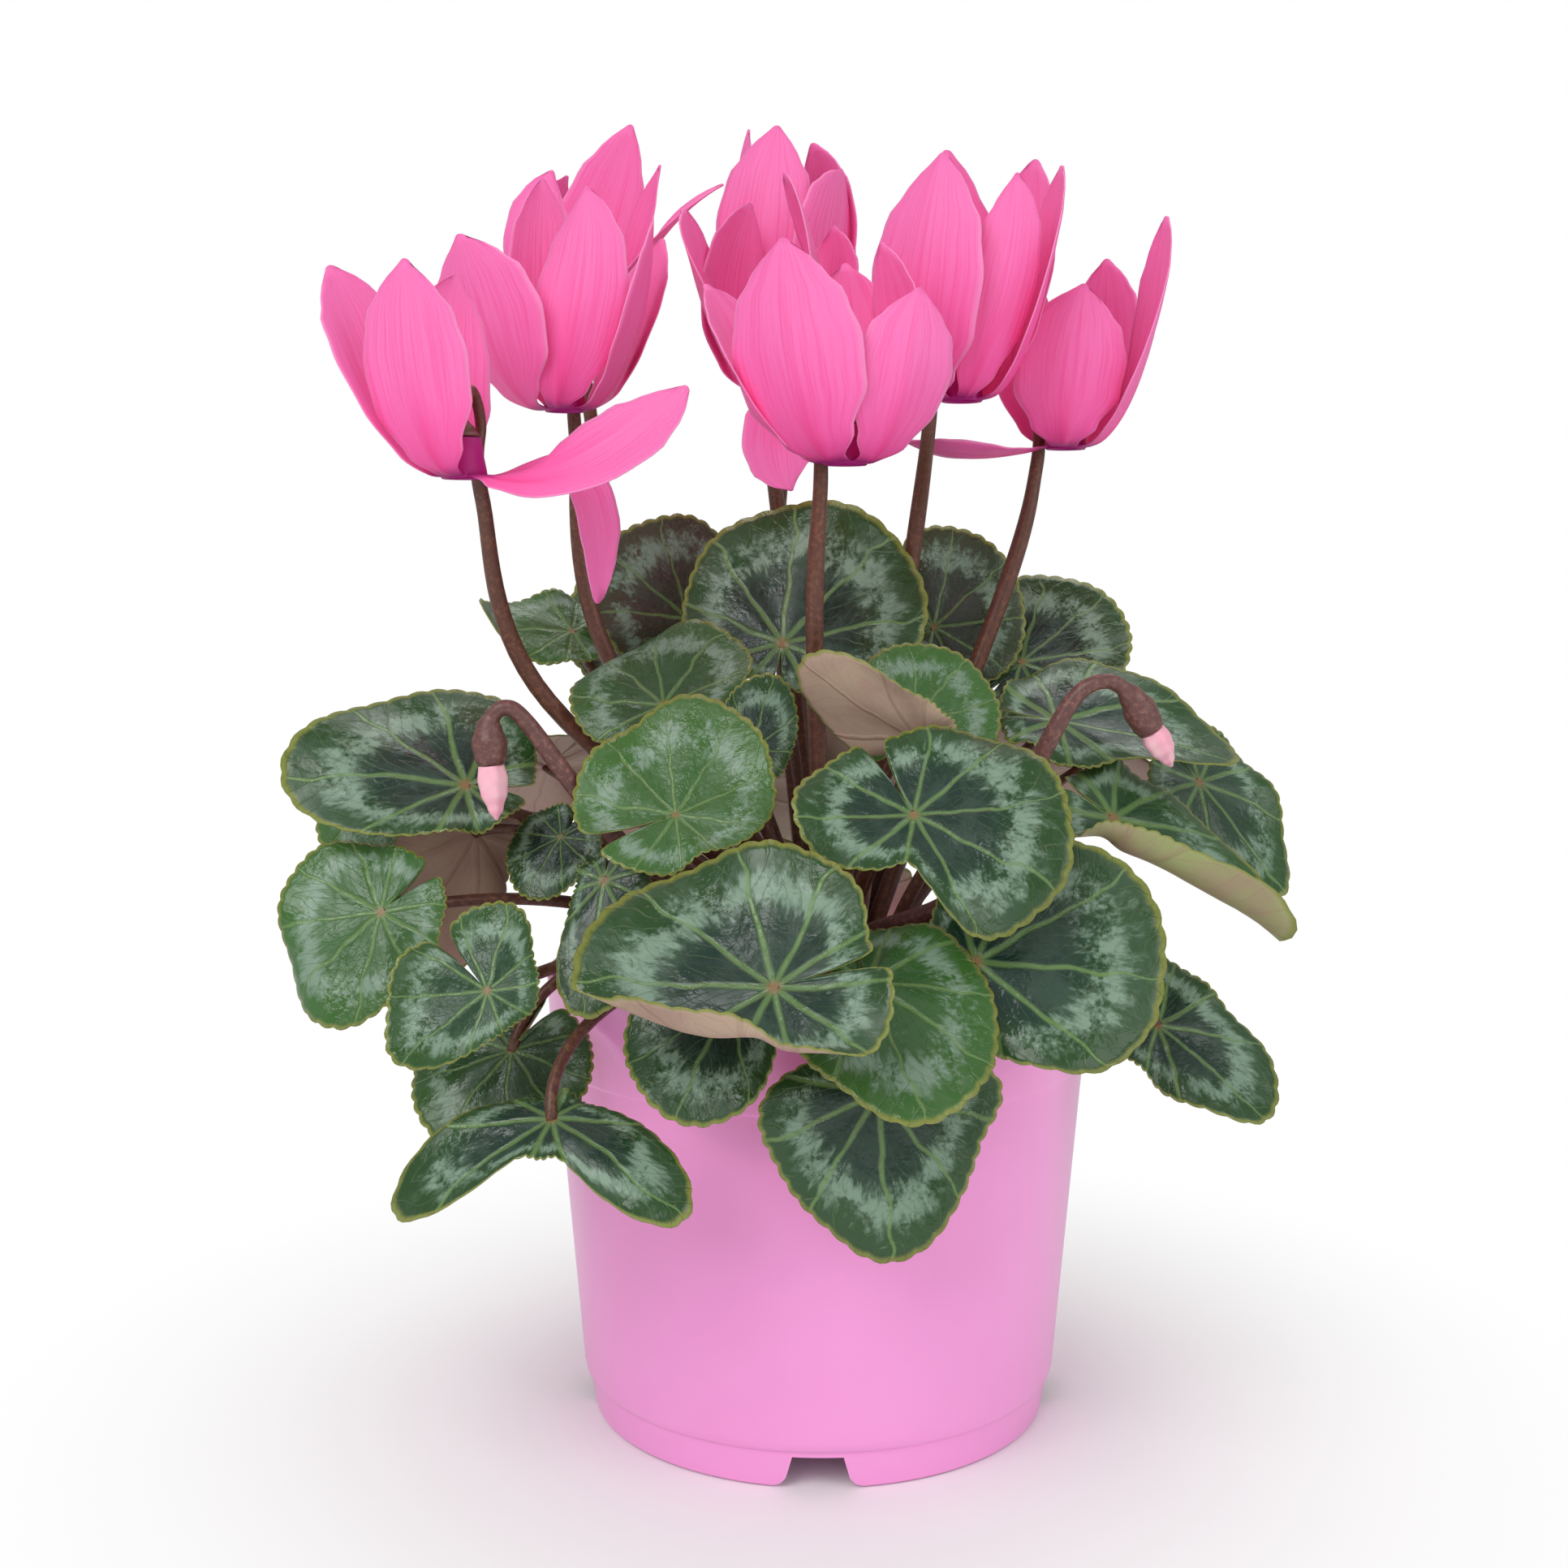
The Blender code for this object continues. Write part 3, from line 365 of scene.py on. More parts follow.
# where each leaf's stalk meets its blade, its tip, the way its upper side looks, and its outline in percent
# every 30 degrees anticlockwise from the tip
roundBlade = (100, 96, 89, 81, 74, 66, 58, 66, 74, 81, 89, 96)
leafPlaces = {
    "leaf_front_hanging": dict(
        stalk=(11, -71, 87), tip=(14, -76, 56), face=(0, -1, 0.25), root=(-78, 21), lift=22,
        outline=(100, 82, 68, 74, 45, 30, 25, 30, 45, 70, 74, 84), cup=-0.05,
    ),
    "leaf_front_large": dict(
        stalk=(-8, -84, 110), tip=(-44, -76, 108), face=(0.1, -0.75, 0.65), root=(-101, 19),
        outline=(100, 84, 62, 44, 58, 64, 60, 52, 69, 78, 84, 96), notch=195, cup=0.1,
    ),
    "leaf_front_right_large": dict(
        stalk=(18, -58, 138), tip=(30, -72, 118), face=(0.1, -0.8, 0.6), root=(-70, 14),
        outline=(100, 112, 110, 106, 88, 70, 66, 72, 86, 79, 55, 42), notch=180, cup=0.06,
    ),
    "leaf_right_front": dict(
        stalk=(30, -60, 110), tip=(66, -62, 108), face=(0.3, -0.9, 0.45), root=(-58, 20),
        outline=(100, 103, 84, 62, 42, 30, 28, 28, 38, 42, 62, 94), cup=-0.06,
    ),
    "leaf_green_front": dict(
        stalk=(9, -70, 108), tip=(19, -92, 88), face=(0.2, -0.8, 0.6), root=(-90, 21),
        outline=(100, 92, 80, 72, 62, 50, 36, 24, 24, 34, 62, 76), cup=-0.05,
    ),
    "leaf_under_front": dict(
        stalk=(-17, -62, 102), tip=(-27, -76, 84), face=(-0.1, -0.8, 0.6), root=(-112, 21),
        outline=(100, 86, 58, 42, 40, 40, 40, 40, 44, 56, 82, 92), cup=-0.1,
    ),
    "leaf_left_heart": dict(
        stalk=(-63, -64, 105), tip=(-79, -70, 92), face=(-0.1, -1, 0.4), root=(-134, 20),
        outline=(100, 64, 46, 40, 46, 48, 52, 80, 76, 68, 87, 90), notch=270, cup=0.08,
    ),
    "leaf_left_large": dict(
        stalk=(-87, -46, 117), tip=(-106, -52, 100), face=(-0.3, -1, 0.2), root=(-152, 20),
        outline=(100, 92, 68, 60, 50, 50, 52, 52, 58, 76, 82, 86), cup=-0.1,
    ),
    "leaf_left_upturned": dict(
        stalk=(-72, -24, 130), tip=(-89, -42, 99), face=(-0.6, 0.9, 0.2), root=(-170, 20),
        outline=(100, 72, 45, 35, 30, 28, 26, 28, 30, 35, 45, 72), cup=0.05,
    ),
    "leaf_left_upper": dict(
        stalk=(-72, -34, 141), tip=(-108, -40, 146), face=(-0.1, -0.7, 0.7), root=(-166, 13),
        outline=(100, 70, 42, 32, 30, 32, 36, 44, 62, 72, 78, 88), cup=-0.08,
    ),
    "leaf_left_second": dict(
        stalk=(-90, -14, 139), tip=(-105, -20, 126), face=(-0.5, -0.8, 0.4), root=(176, 20),
        outline=roundBlade, cup=-0.1,
    ),
    "leaf_left_drooping": dict(
        stalk=(-50, -71, 82), tip=(-25, -88, 73), face=(0, -0.6, 0.8), root=(-124, 21), lift=26,
        outline=(100, 62, 28, 24, 22, 22, 34, 60, 104, 40, 30, 36), notch=120, cup=-0.25,
    ),
    "leaf_left_under": dict(
        stalk=(-62, -42, 88), tip=(-76, -52, 73), face=(-0.3, -0.9, 0.4), root=(-143, 21), lift=24,
        outline=roundBlade, cup=-0.1,
    ),
    "leaf_left_shiny": dict(
        stalk=(-42, -50, 124), tip=(-45, -62, 99), face=(-0.3, -0.9, 0.3), root=(-127, 15),
        outline=(100, 66, 42, 36, 30, 26, 22, 20, 20, 22, 28, 48), cup=0.06,
    ),
    "leaf_left_dark": dict(
        stalk=(-53, -31, 130), tip=(-60, -37, 119), face=(-0.2, -0.8, 0.6), root=(-152, 14),
        outline=(100, 90, 78, 70, 60, 54, 50, 54, 60, 70, 78, 90), cup=-0.05,
    ),
    "leaf_centre_left": dict(
        stalk=(-28, -50, 137), tip=(-9, -44, 144), face=(-0.1, -0.8, 0.6), root=(-112, 15),
        outline=(100, 118, 128, 104, 100, 96, 84, 76, 64, 54, 64, 88), notch=180, cup=0.1,
    ),
    "leaf_upper_left": dict(
        stalk=(-32, -28, 157), tip=(-35, -14, 174), face=(-0.1, -0.8, 0.6), root=(-116, 8),
        outline=(100, 108, 97, 82, 62, 40, 34, 34, 52, 70, 100, 106), cup=-0.08,
    ),
    "leaf_centre_small": dict(
        stalk=(-14, -31, 148), tip=(-10, -25, 163), face=(0.4, -0.9, 0.3), root=(-100, 11),
        outline=(100, 80, 60, 50, 46, 42, 40, 42, 46, 50, 60, 80), cup=0.1,
    ),
    "leaf_light_green": dict(
        stalk=(20, -22, 153), tip=(31, -13, 167), face=(0.2, -0.8, 0.6), root=(-62, 6),
        outline=roundBlade, cup=-0.06,
    ),
    "leaf_folded_pink": dict(
        stalk=(20, -38, 151), tip=(-5, -40, 164), face=(0.1, 0.7, 0.7), root=(-64, 11),
        outline=(100, 72, 44, 34, 30, 28, 26, 28, 30, 34, 44, 72), cup=0.12,
    ),
    "leaf_upper_centre": dict(
        stalk=(-8, -8, 169), tip=(-5, 7, 200), face=(0, -0.85, 0.5), root=(-100, 4),
        outline=(100, 91, 73, 60, 42, 30, 28, 36, 60, 82, 99, 106), cup=-0.05,
    ),
    "leaf_upper_back_left": dict(
        stalk=(-30, 16, 174), tip=(-48, 12, 190), face=(-0.2, -0.8, 0.6), root=(160, 6),
        outline=(100, 92, 78, 64, 52, 46, 44, 52, 66, 82, 98, 98), cup=-0.06,
    ),
    "leaf_upper_right": dict(
        stalk=(26, 17, 172), tip=(43, 20, 187), face=(0.3, -0.85, 0.45), root=(20, 7),
        outline=(100, 104, 98, 62, 36, 28, 26, 28, 48, 76, 88, 92), cup=-0.06,
    ),
    "leaf_far_left_back": dict(
        stalk=(-56, 14, 171), tip=(-77, 4, 173), face=(-0.1, -0.7, 0.7), root=(172, 14),
        outline=(100, 66, 50, 42, 40, 40, 42, 46, 50, 56, 62, 76), cup=-0.1,
    ),
    "leaf_right_upper": dict(
        stalk=(50, -16, 153), tip=(88, -20, 147), face=(0.2, -0.6, 0.8), root=(-18, 14),
        outline=(100, 84, 66, 58, 46, 36, 32, 30, 30, 32, 36, 46), cup=-0.08,
    ),
    "leaf_right_back": dict(
        stalk=(84, 4, 138), tip=(104, 0, 114), face=(0.5, -0.8, 0.4), root=(4, 18),
        outline=(100, 76, 60, 54, 50, 46, 42, 42, 42, 44, 50, 66), cup=-0.08,
    ),
    "leaf_right_folded": dict(
        stalk=(60, -30, 134), tip=(94, -34, 110), face=(0.3, -0.6, 0.7), root=(-24, 19),
        outline=(100, 70, 52, 42, 36, 32, 30, 30, 32, 34, 40, 56), cup=-0.05,
    ),
    "leaf_right_drooping": dict(
        stalk=(70, -30, 91), tip=(92, -38, 74), face=(0.4, -0.8, 0.5), root=(-34, 20), lift=20,
        outline=(100, 90, 62, 56, 62, 50, 40, 36, 38, 40, 42, 64), cup=-0.08,
    ),
    "leaf_back_top": dict(
        stalk=(16, 36, 172), tip=(24, 52, 192), face=(0, -0.6, 0.8), root=(66, 8),
        outline=roundBlade, cup=-0.05,
    ),
    "leaf_back_top_right": dict(
        stalk=(46, 18, 164), tip=(66, 24, 180), face=(0.3, -0.4, 0.8), root=(34, 10),
        outline=roundBlade, cup=-0.05,
    ),
    "leaf_back_top_left": dict(
        stalk=(-34, 36, 170), tip=(-52, 50, 188), face=(-0.2, -0.5, 0.8), root=(128, 7),
        outline=roundBlade, cup=-0.05,
    ),
    "leaf_back_right": dict(
        stalk=(62, 38, 138), tip=(90, 56, 118), face=(0.5, 0.4, 0.8), root=(30, 17),
        outline=roundBlade, cup=-0.08,
    ),
    "leaf_back_centre_right": dict(
        stalk=(22, 66, 134), tip=(32, 98, 112), face=(0.2, 0.6, 0.8), root=(68, 16),
        outline=roundBlade, cup=-0.08,
    ),
    "leaf_back_centre_left": dict(
        stalk=(-26, 66, 130), tip=(-36, 96, 106), face=(-0.2, 0.6, 0.8), root=(112, 17),
        outline=roundBlade, cup=-0.08,
    ),
    "leaf_back_left": dict(
        stalk=(-66, 40, 138), tip=(-92, 56, 118), face=(-0.5, 0.4, 0.8), root=(150, 17),
        outline=roundBlade, cup=-0.08,
    ),
    "leaf_back_low": dict(
        stalk=(-2, 72, 100), tip=(-4, 92, 70), face=(0, 0.9, 0.4), root=(92, 20), lift=10,
        outline=roundBlade, cup=-0.08,
    ),
}


bladeMake = {
    "spokes": 168, "rings": 12, "spacing": 0.8, "teeth": 42, "tooth": 0.55, "toothMiddle": 0.6, "thick": 0.55,
    "hub": 1.5, "notchEdge": 0.9, "wave": 0.065, "waveShare": 0.6, "secondWave": 0.6,
    "quilt": 0.35, "thinEdge": 0.5,
}
leafStalkMake = {
    "steps": 24, "sides": 12, "radius": 1.5, "thinning": 0.35, "leave": 0.42, "arrive": 0.22, "up": 0.75,
    "ahead": 0.45, "sink": 0.2,
}
# rolled and bent margins: direction from the tip in degrees, start in mm, angle, and how much blade it uses
bladeBends = {
    "leaf_front_large": ((80, 9, 105, 8),),
    "leaf_right_folded": ((-75, 5, 125, 9), (0, 30, -25, 12)),
    "leaf_upper_left": ((20, 15, -60, 8),),
    "leaf_left_upper": ((100, 9, -45, 10),),
    "leaf_left_large": ((-20, 16, -40, 8),),
    "leaf_right_front": ((-60, 24, -50, 10),),
    "leaf_front_hanging": ((45, 20, -35, 9), (-60, 20, -30, 9)),
    "leaf_front_right_large": ((0, 15, -30, 8), (150, 12, -20, 8)),
    "leaf_far_left_back": ((10, 12, 60, 8),),
    "leaf_left_heart": ((-60, 12, 30, 8),),
}
bladeTones = {
    "leaf_upper_centre": 0.55, "leaf_upper_back_left": 0.9, "leaf_upper_right": 0.75, "leaf_light_green": 0.0,
    "leaf_green_front": 0.1, "leaf_left_heart": 0.2, "leaf_front_right_large": 0.55, "leaf_upper_left": 0.15,
    "leaf_left_shiny": 0.6, "leaf_under_front": 0.55, "leaf_left_dark": 0.45,
}
underTones = {"leaf_right_folded": 0.9, "leaf_light_green": 0.6}


def outlineReach(spec, length, angle):
    outline = spec["outline"]
    place = (angle % 360) / 30
    i = int(place)
    f = place - i
    a, b, c, d = (outline[(i + k) % 12] for k in (-1, 0, 1, 2))
    value = b + 0.5 * f * (c - a + f * (2 * a - 5 * b + 4 * c - d + f * (3 * (b - c) + d - a)))
    away = abs((angle - spec.get("notch", 180) + 180) % 360 - 180)
    openShare = smooth(0, 9, away) ** 0.7
    return length * value / 100 * (0.12 + 0.88 * openShare)


def bent(point, bends):
    # carries a flat point round each bend in turn
    a, b, c = point
    for turn, start, angle, width in bends:
        d = Vector((math.cos(math.radians(turn)), math.sin(math.radians(turn))))
        s = a * d.x + b * d.y - start
        if s <= 0:
            continue
        full = math.radians(angle)
        radius = width / full
        f = full * min(s, width) / width
        rest = max(0, s - width)
        along = math.sin(f) * (radius - c) + rest * math.cos(f)
        c = radius - math.cos(f) * (radius - c) + rest * math.sin(f)
        a += d.x * (along - s)
        b += d.y * (along - s)
    return a, b, c


def leaf(name, spec, number, mats):
    hub = Vector(spec["stalk"])
    toTip = Vector(spec["tip"]) - hub
    length = toTip.length
    ahead = unit(toTip)
    up = across(spec["face"], ahead)
    left = up.cross(ahead)
    cup = spec.get("cup", 0) / length
    bends = bladeBends.get(name, ())
    notch = spec.get("notch", 180)
    bm = bmesh.new()
    flatLayer = bm.verts.layers.float_vector.new("flat")
    rimLayer = bm.verts.layers.float.new("rim")
    phase = number * 1.7
    spokes = [notch + 360 * (i / bladeMake["spokes"]) for i in range(bladeMake["spokes"])]

    def place(reach, angle, share, side):
        a = reach * math.cos(math.radians(angle))
        b = reach * math.sin(math.radians(angle))
        rise = cup * reach**2 + bladeMake["thick"] / 2 * side * (1 - bladeMake["thinEdge"] * share**6)
        wave = math.sin(math.radians(angle) * 4 + phase)
        wave += bladeMake["secondWave"] * math.sin(math.radians(angle) * 7 - phase)
        rise += bladeMake["wave"] * length * wave * share**3 * bladeMake["waveShare"]
        rise += bladeMake["quilt"] * math.sin(math.radians(angle - notch) * 5) * min(1, reach / 8)
        aa, bb, cc = bent((a, b, rise), bends)
        vert = bm.verts.new(hub + ahead * aa + left * bb + up * cc)
        vert[flatLayer] = Vector((a / length, b / length, number * 3.1))
        vert[rimLayer] = share
        return vert

    sheets = {}
    for side in (1, -1):
        rings = []
        for k in range(bladeMake["rings"] + 1):
            share = (k / bladeMake["rings"]) ** bladeMake["spacing"]
            ring = []
            for i, angle in enumerate(spokes):
                reach = max(outlineReach(spec, length, angle), bladeMake["hub"] + bladeMake["notchEdge"])
                tooth = abs(math.sin(math.pi * i * bladeMake["teeth"] / bladeMake["spokes"]))
                reach += bladeMake["tooth"] * (tooth - bladeMake["toothMiddle"]) * smooth(0.8, 1.0, share)
                ring.append(place(bladeMake["hub"] + (reach - bladeMake["hub"]) * share, angle, share, side))
            rings.append(ring)
        for a, b in zip(rings, rings[1:]):
            joinRings(bm, a, b, 0 if side > 0 else 1)
        centre = place(0, 0, 0, side)
        for i in range(len(spokes)):
            face = bm.faces.new((rings[0][i], rings[0][(i + 1) % len(spokes)], centre))
            face.material_index = 0 if side > 0 else 1
        sheets[side] = rings
    joinRings(bm, sheets[1][-1], sheets[-1][-1], 0)
    root, skin = tuberPoint(*spec["root"])
    end = hub - up * leafStalkMake["sink"]
    span = (end - root).length
    arrive = unit(up * leafStalkMake["up"] + ahead * leafStalkMake["ahead"])
    lift = Vector((0, 0, spec.get("lift", 0)))
    leave = unit(skin + Vector((0, 0, 0.5)))
    low = root + leave * span * leafStalkMake["leave"]
    high = end - arrive * span * leafStalkMake["arrive"] + lift
    path = (root, low, high, end)
    steps = [i / (leafStalkMake["steps"] - 1) for i in range(leafStalkMake["steps"])]
    tube(bm, [bezier(path, t) for t in steps], [slope(path, t) for t in steps],
         [leafStalkMake["radius"] - leafStalkMake["thinning"] * t for t in steps],
         ahead, leafStalkMake["sides"], 2)
    piece = finish("fine." + name, bm, mats, name)
    tone = bladeTones.get(name, 0.3 + 0.25 * math.sin(number * 2.4))
    for key, value in (("tone", tone), ("under", underTones.get(name, 0.15))):
        layer = piece.data.attributes.new(key, "FLOAT", "POINT")
        layer.data.foreach_set("value", [value] * len(piece.data.vertices))
    return piece


# the middle of each flower's mouth, the side its scape passes, and its petals anticlockwise from that side
flowerPlaces = {
    "flower_left_front": dict(
        mouth=(-69, -46, 202), behind=70, root=(-160, 8), lean=(-58, -24, 160),
        petals=(
            ((-9, 12, 24), (-3, 13, 41), 15, 0),
            ((-15, 3, 20), (-26, 2, 41), 19, -40),
            ((-9, -12, 20), (-8, -13, 40), 18, 20),
            ((24, -16, -6), (44, -8, 17), 19, 60),
            ((28, 2, 14), (25, 6, -24), 14, 30),
        ),
    ),
    "flower_left_second": dict(
        mouth=(-54, -8, 218), behind=80, root=(178, 11), lean=(-48, 0, 170),
        petals=(
            ((-8, 14, 28), (-6, 13, 51), 14, 0),
            ((-14, -10, 16), (-20, -12, 35), 23, 40),
            ((8, -14, 22), (6, -9, 45), 16, -30),
            ((19, -4, 18), (19, -2, 40), 18, 20),
            ((15, 13, 20), (20, 12, 38), 16, 0),
        ),
    ),
    "flower_back_left": dict(
        mouth=(-58, 32, 238), behind=-60, root=(148, 11), lean=(-44, 26, 180),
        petals=(
            ((16, -12, 22), (36, -4, 34), 9, 40),
            ((16, 6, 22), (21, 4, 40), 12, 0),
            ((4, 14, 24), (14, 8, 50), 16, 0),
            ((-12, 10, 20), (-2, 16, 40), 14, 0),
            ((-12, -12, 18), (-2, -10, 36), 14, 20),
        ),
    ),
    "flower_back_top": dict(
        mouth=(-8, 48, 238), behind=60, root=(105, 10), lean=(-10, 36, 190),
        petals=(
            ((-2, 16, 26), (-4, 10, 48), 18, 0),
            ((-16, 3, 26), (-9, 2, 51), 20, 30),
            ((-8, -14, 26), (-2, -6, 50), 20, 20),
            ((12, -13, 24), (13, -6, 40), 22, 20),
            ((17, 6, 26), (6, 3, 48), 18, 20),
        ),
    ),
    "flower_centre_back": dict(
        mouth=(-10, 16, 224), behind=110, root=(90, 2), lean=(-8, 26, 185),
        petals=(
            ((-15, 12, 22), (-6, 12, 44), 19, 0),
            ((-18, -4, 22), (-20, -3, 40), 20, -40),
            ((-2, -14, -12), (4, -12, -22), 14, 0),
            ((15, -8, 22), (2, -6, 47), 18, 30),
            ((17, 9, 22), (13, 8, 38), 16, 0),
        ),
    ),
    "flower_front": dict(
        mouth=(5, -38, 205), behind=135, root=(-84, 9), lean=(-1, -30, 172),
        petals=(
            ((-18, 6, 20), (-28, 6, 36), 20, -20),
            ((-12, -13, 18), (-12, -12, 42), 23, 20),
            ((12, -14, 16), (14, -10, 33), 17, -30),
            ((16, 6, 22), (7, 6, 44), 13, 20),
            ((2, 16, 22), (0, 12, 41), 19, 0),
        ),
    ),
    "flower_right_centre": dict(
        mouth=(30, -7, 220), behind=165, root=(-14, 8), lean=(20, 9, 184),
        petals=(
            ((-12, -18, 20), (-5, -12, 49), 22, 10),
            ((10, -15, 24), (10, -12, 45), 12, -20),
            ((18, -4, 24), (20, -4, 48), 20, 30),
            ((14, 13, 26), (16, 9, 52), 18, 0),
            ((-4, 16, 26), (-3, 9, 54), 22, 0),
        ),
    ),
    "flower_right": dict(
        mouth=(54, 8, 211), behind=150, root=(16, 12), lean=(41, 10, 180),
        petals=(
            ((-22, -2, -4), (-36, -4, 2), 13, 10),
            ((-2, -15, 18), (2, -12, 34), 20, 0),
            ((19, -8, 20), (20, -6, 49), 20, 40),
            ((12, 14, 24), (10, 12, 43), 17, 0),
            ((-12, 13, 22), (-6, 12, 40), 17, 0),
        ),
    ),
}


# each bud's way up, its calyx and its tip
budPlaces = {
    "bud_left": dict(
        root=(-142, 11), way=((-31, -26, 118), (-47, -43, 140), (-57, -49, 155), (-61, -50, 158)),
        calyx=(-64, -50, 155), end=(-64, -50, 147), tip=(-63, -50, 136),
    ),
    "bud_right": dict(
        root=(-44, 12), way=((30, -24, 118), (44, -34, 146), (51, -36, 159), (57, -36, 162.5)),
        calyx=(62, -34.5, 160), end=(67, -33, 152.5), tip=(71.5, -32, 145),
    ),
}


petalMake = {
    "rows": 30, "columns": 14, "thick": 0.5, "throat": 4.6, "reach": 8.5, "drop": 1.0,
    "curl": 0.16, "ripple": 0.5, "keel": 0.5, "tipSweep": -1.2, "thinEdge": 0.55,
    "width": ((0.0, 0.27), (0.12, 0.33), (0.3, 0.72), (0.52, 1.14),
              (0.7, 1.2), (0.84, 1.02), (0.94, 0.62), (1.0, 0.16)),
}


def petal(bm, flatLayer, spec, azimuth, number):
    out = Vector((math.cos(azimuth), math.sin(azimuth), 0))
    via, tip, width, twist = spec
    start = out * petalMake["throat"] * 0.8 + Vector((0, 0, 0.8))
    drop = Vector((0, 0, petalMake["drop"]))
    path = (start, start + out * petalMake["reach"] - drop, Vector(via), Vector(tip))
    along = out
    side = Vector((-math.sin(azimuth), math.cos(azimuth), 0))
    sheets = {1: [], -1: []}
    for row in range(petalMake["rows"] + 1):
        t = row / petalMake["rows"]
        direction = slope(path, t)
        side = across(along.rotation_difference(direction) @ side, direction)
        along = direction
        turn = math.radians(twist) * t
        thick = along.cross(side)
        wide = side * math.cos(turn) + thick * math.sin(turn)
        deep = along.cross(wide)
        half = width / 2 * fromTable(petalMake["width"], t)
        centre = bezier(path, t)
        for sheet in (1, -1):
            line = []
            for column in range(petalMake["columns"] + 1):
                c = column / petalMake["columns"] * 2 - 1
                curl = petalMake["curl"] * half * c * c * smooth(0.1, 0.5, t)
                wavy = math.sin(7 * t + number * 1.3 + c * 1.5)
                ripple = petalMake["ripple"] * wavy * c * c * smooth(0.25, 0.6, t)
                keel = petalMake["keel"] * math.exp(-((c * 4) ** 2))
                keel = keel * smooth(0.0, 0.2, t) * smooth(1.0, 0.6, t)
                lift = curl + ripple - keel
                edge = petalMake["thick"] / 2 * sheet * (1 - petalMake["thinEdge"] * c * c)
                sweep = along * (petalMake["tipSweep"] * c * c * t * t)
                vert = bm.verts.new(centre + wide * (half * c) + deep * (lift + edge) + sweep)
                vert[flatLayer] = Vector((c, t, number * 2.3))
                line.append(vert)
            sheets[sheet].append(line)
    for rows in sheets.values():
        for a, b in zip(rows, rows[1:]):
            for i in range(len(a) - 1):
                bm.faces.new((a[i], a[i + 1], b[i + 1], b[i]))
    upper, lower = sheets[1], sheets[-1]
    loopTop = upper[0] + [r[-1] for r in upper[1:]] + upper[-1][-2::-1] + [r[0] for r in upper[-2:0:-1]]
    loopLow = lower[0] + [r[-1] for r in lower[1:]] + lower[-1][-2::-1] + [r[0] for r in lower[-2:0:-1]]
    for i in range(len(loopTop)):
        j = (i + 1) % len(loopTop)
        bm.faces.new((loopTop[i], loopTop[j], loopLow[j], loopLow[i]))


# the mouth and throat, as radius and height in mm
throatShape = {
    "sides": 40,
    "turned": ((0.5, 3.4), (2.6, 2.4), (3.6, 0.4), (4.2, 0.1), (4.6, 0.6),
               (4.4, 2.0), (3.8, 5.0), (3.4, 8.0), (0.5, 8.1)),
}


def turnedRing(bm, r, z, sides):
    angles = [math.tau * k / sides for k in range(sides)]
    return [bm.verts.new((r * math.cos(a), r * math.sin(a), z)) for a in angles]


def corolla(name, spec, number, mats):
    bm = bmesh.new()
    flatLayer = bm.verts.layers.float_vector.new("flat")
    start = math.radians(spec["behind"]) + math.pi / 5
    rings = [turnedRing(bm, r, z, throatShape["sides"]) for r, z in throatShape["turned"]]
    for a, b in zip(rings, rings[1:]):
        joinRings(bm, a, b)
    bm.faces.new(rings[0])
    bm.faces.new(rings[-1])
    for vert in bm.verts:
        vert[flatLayer] = Vector((0.6, 0.04, number))
    for k, one in enumerate(spec["petals"]):
        petal(bm, flatLayer, one, start + math.tau * k / 5, number * 5 + k)
    bmesh.ops.translate(bm, vec=Vector(spec["mouth"]), verts=bm.verts)
    piece = finish("fine." + name, bm, mats, name + "_petals")
    layer = piece.data.attributes.new("tone", "FLOAT", "POINT")
    layer.data.foreach_set("value", [number * 0.37] * len(piece.data.vertices))
    return piece


# the scape passes its mouth on one side, hooks over and comes down on it; radii in mm along the scape
scapeMake = {
    "steps": 90, "sides": 20, "aside": 6.8, "top": 8.3, "neckRise": 3, "hookRise": 9, "entry": 4.5,
    "flowerRadii": ((0, 2.0), (0.3, 1.85), (0.42, 1.5), (0.55, 1.1), (0.9, 1.1), (0.96, 2.4), (1.0, 3.3)),
    "budRadii": ((0, 2.0), (0.4, 1.9), (0.7, 1.55), (0.82, 1.6),
                 (0.88, 2.6), (0.93, 3.5), (0.98, 3.2), (1.0, 2.7)),
}
sideStart = (0.3, -0.9, 0.1)  # where round the stalk the first side of a tube lies


def scapeTube(name, points, table, mats, node, skin):
    bm = bmesh.new()
    count = scapeMake["steps"]
    centres = [through(points, i / count) for i in range(count + 1)]
    directions = [unit(b - a) for a, b in zip(centres, centres[1:])]
    between = [unit(a + b) for a, b in zip(directions, directions[1:])]
    directions = [skin] + between + [unit(points[-1] - points[-2])]
    radii = [fromTable(table, i / count) for i in range(count + 1)]
    tube(bm, centres, directions, radii, sideStart, scapeMake["sides"])
    return finish("fine." + name, bm, mats, node)


def flowerScape(name, spec, mats):
    mouth = Vector(spec["mouth"])
    turn = math.radians(spec["behind"])
    aside = Vector((math.cos(turn), math.sin(turn), 0)) * scapeMake["aside"]
    root, skin = tuberPoint(*spec["root"], above=0.4)
    rise = Vector((0, 0, 1))
    top = scapeMake["top"]
    neck = scapeMake["neckRise"]
    points = [root, root + skin * 6 + rise * 5, Vector(spec["lean"]), mouth + aside - rise * neck,
              mouth + aside + rise * (top + neck), mouth + aside * 0.5 + rise * (top + scapeMake["hookRise"]),
              mouth + rise * (top + scapeMake["entry"]), mouth + rise * top]
    return scapeTube(name + "Scape", points, scapeMake["flowerRadii"], mats, name + "_scape", skin)


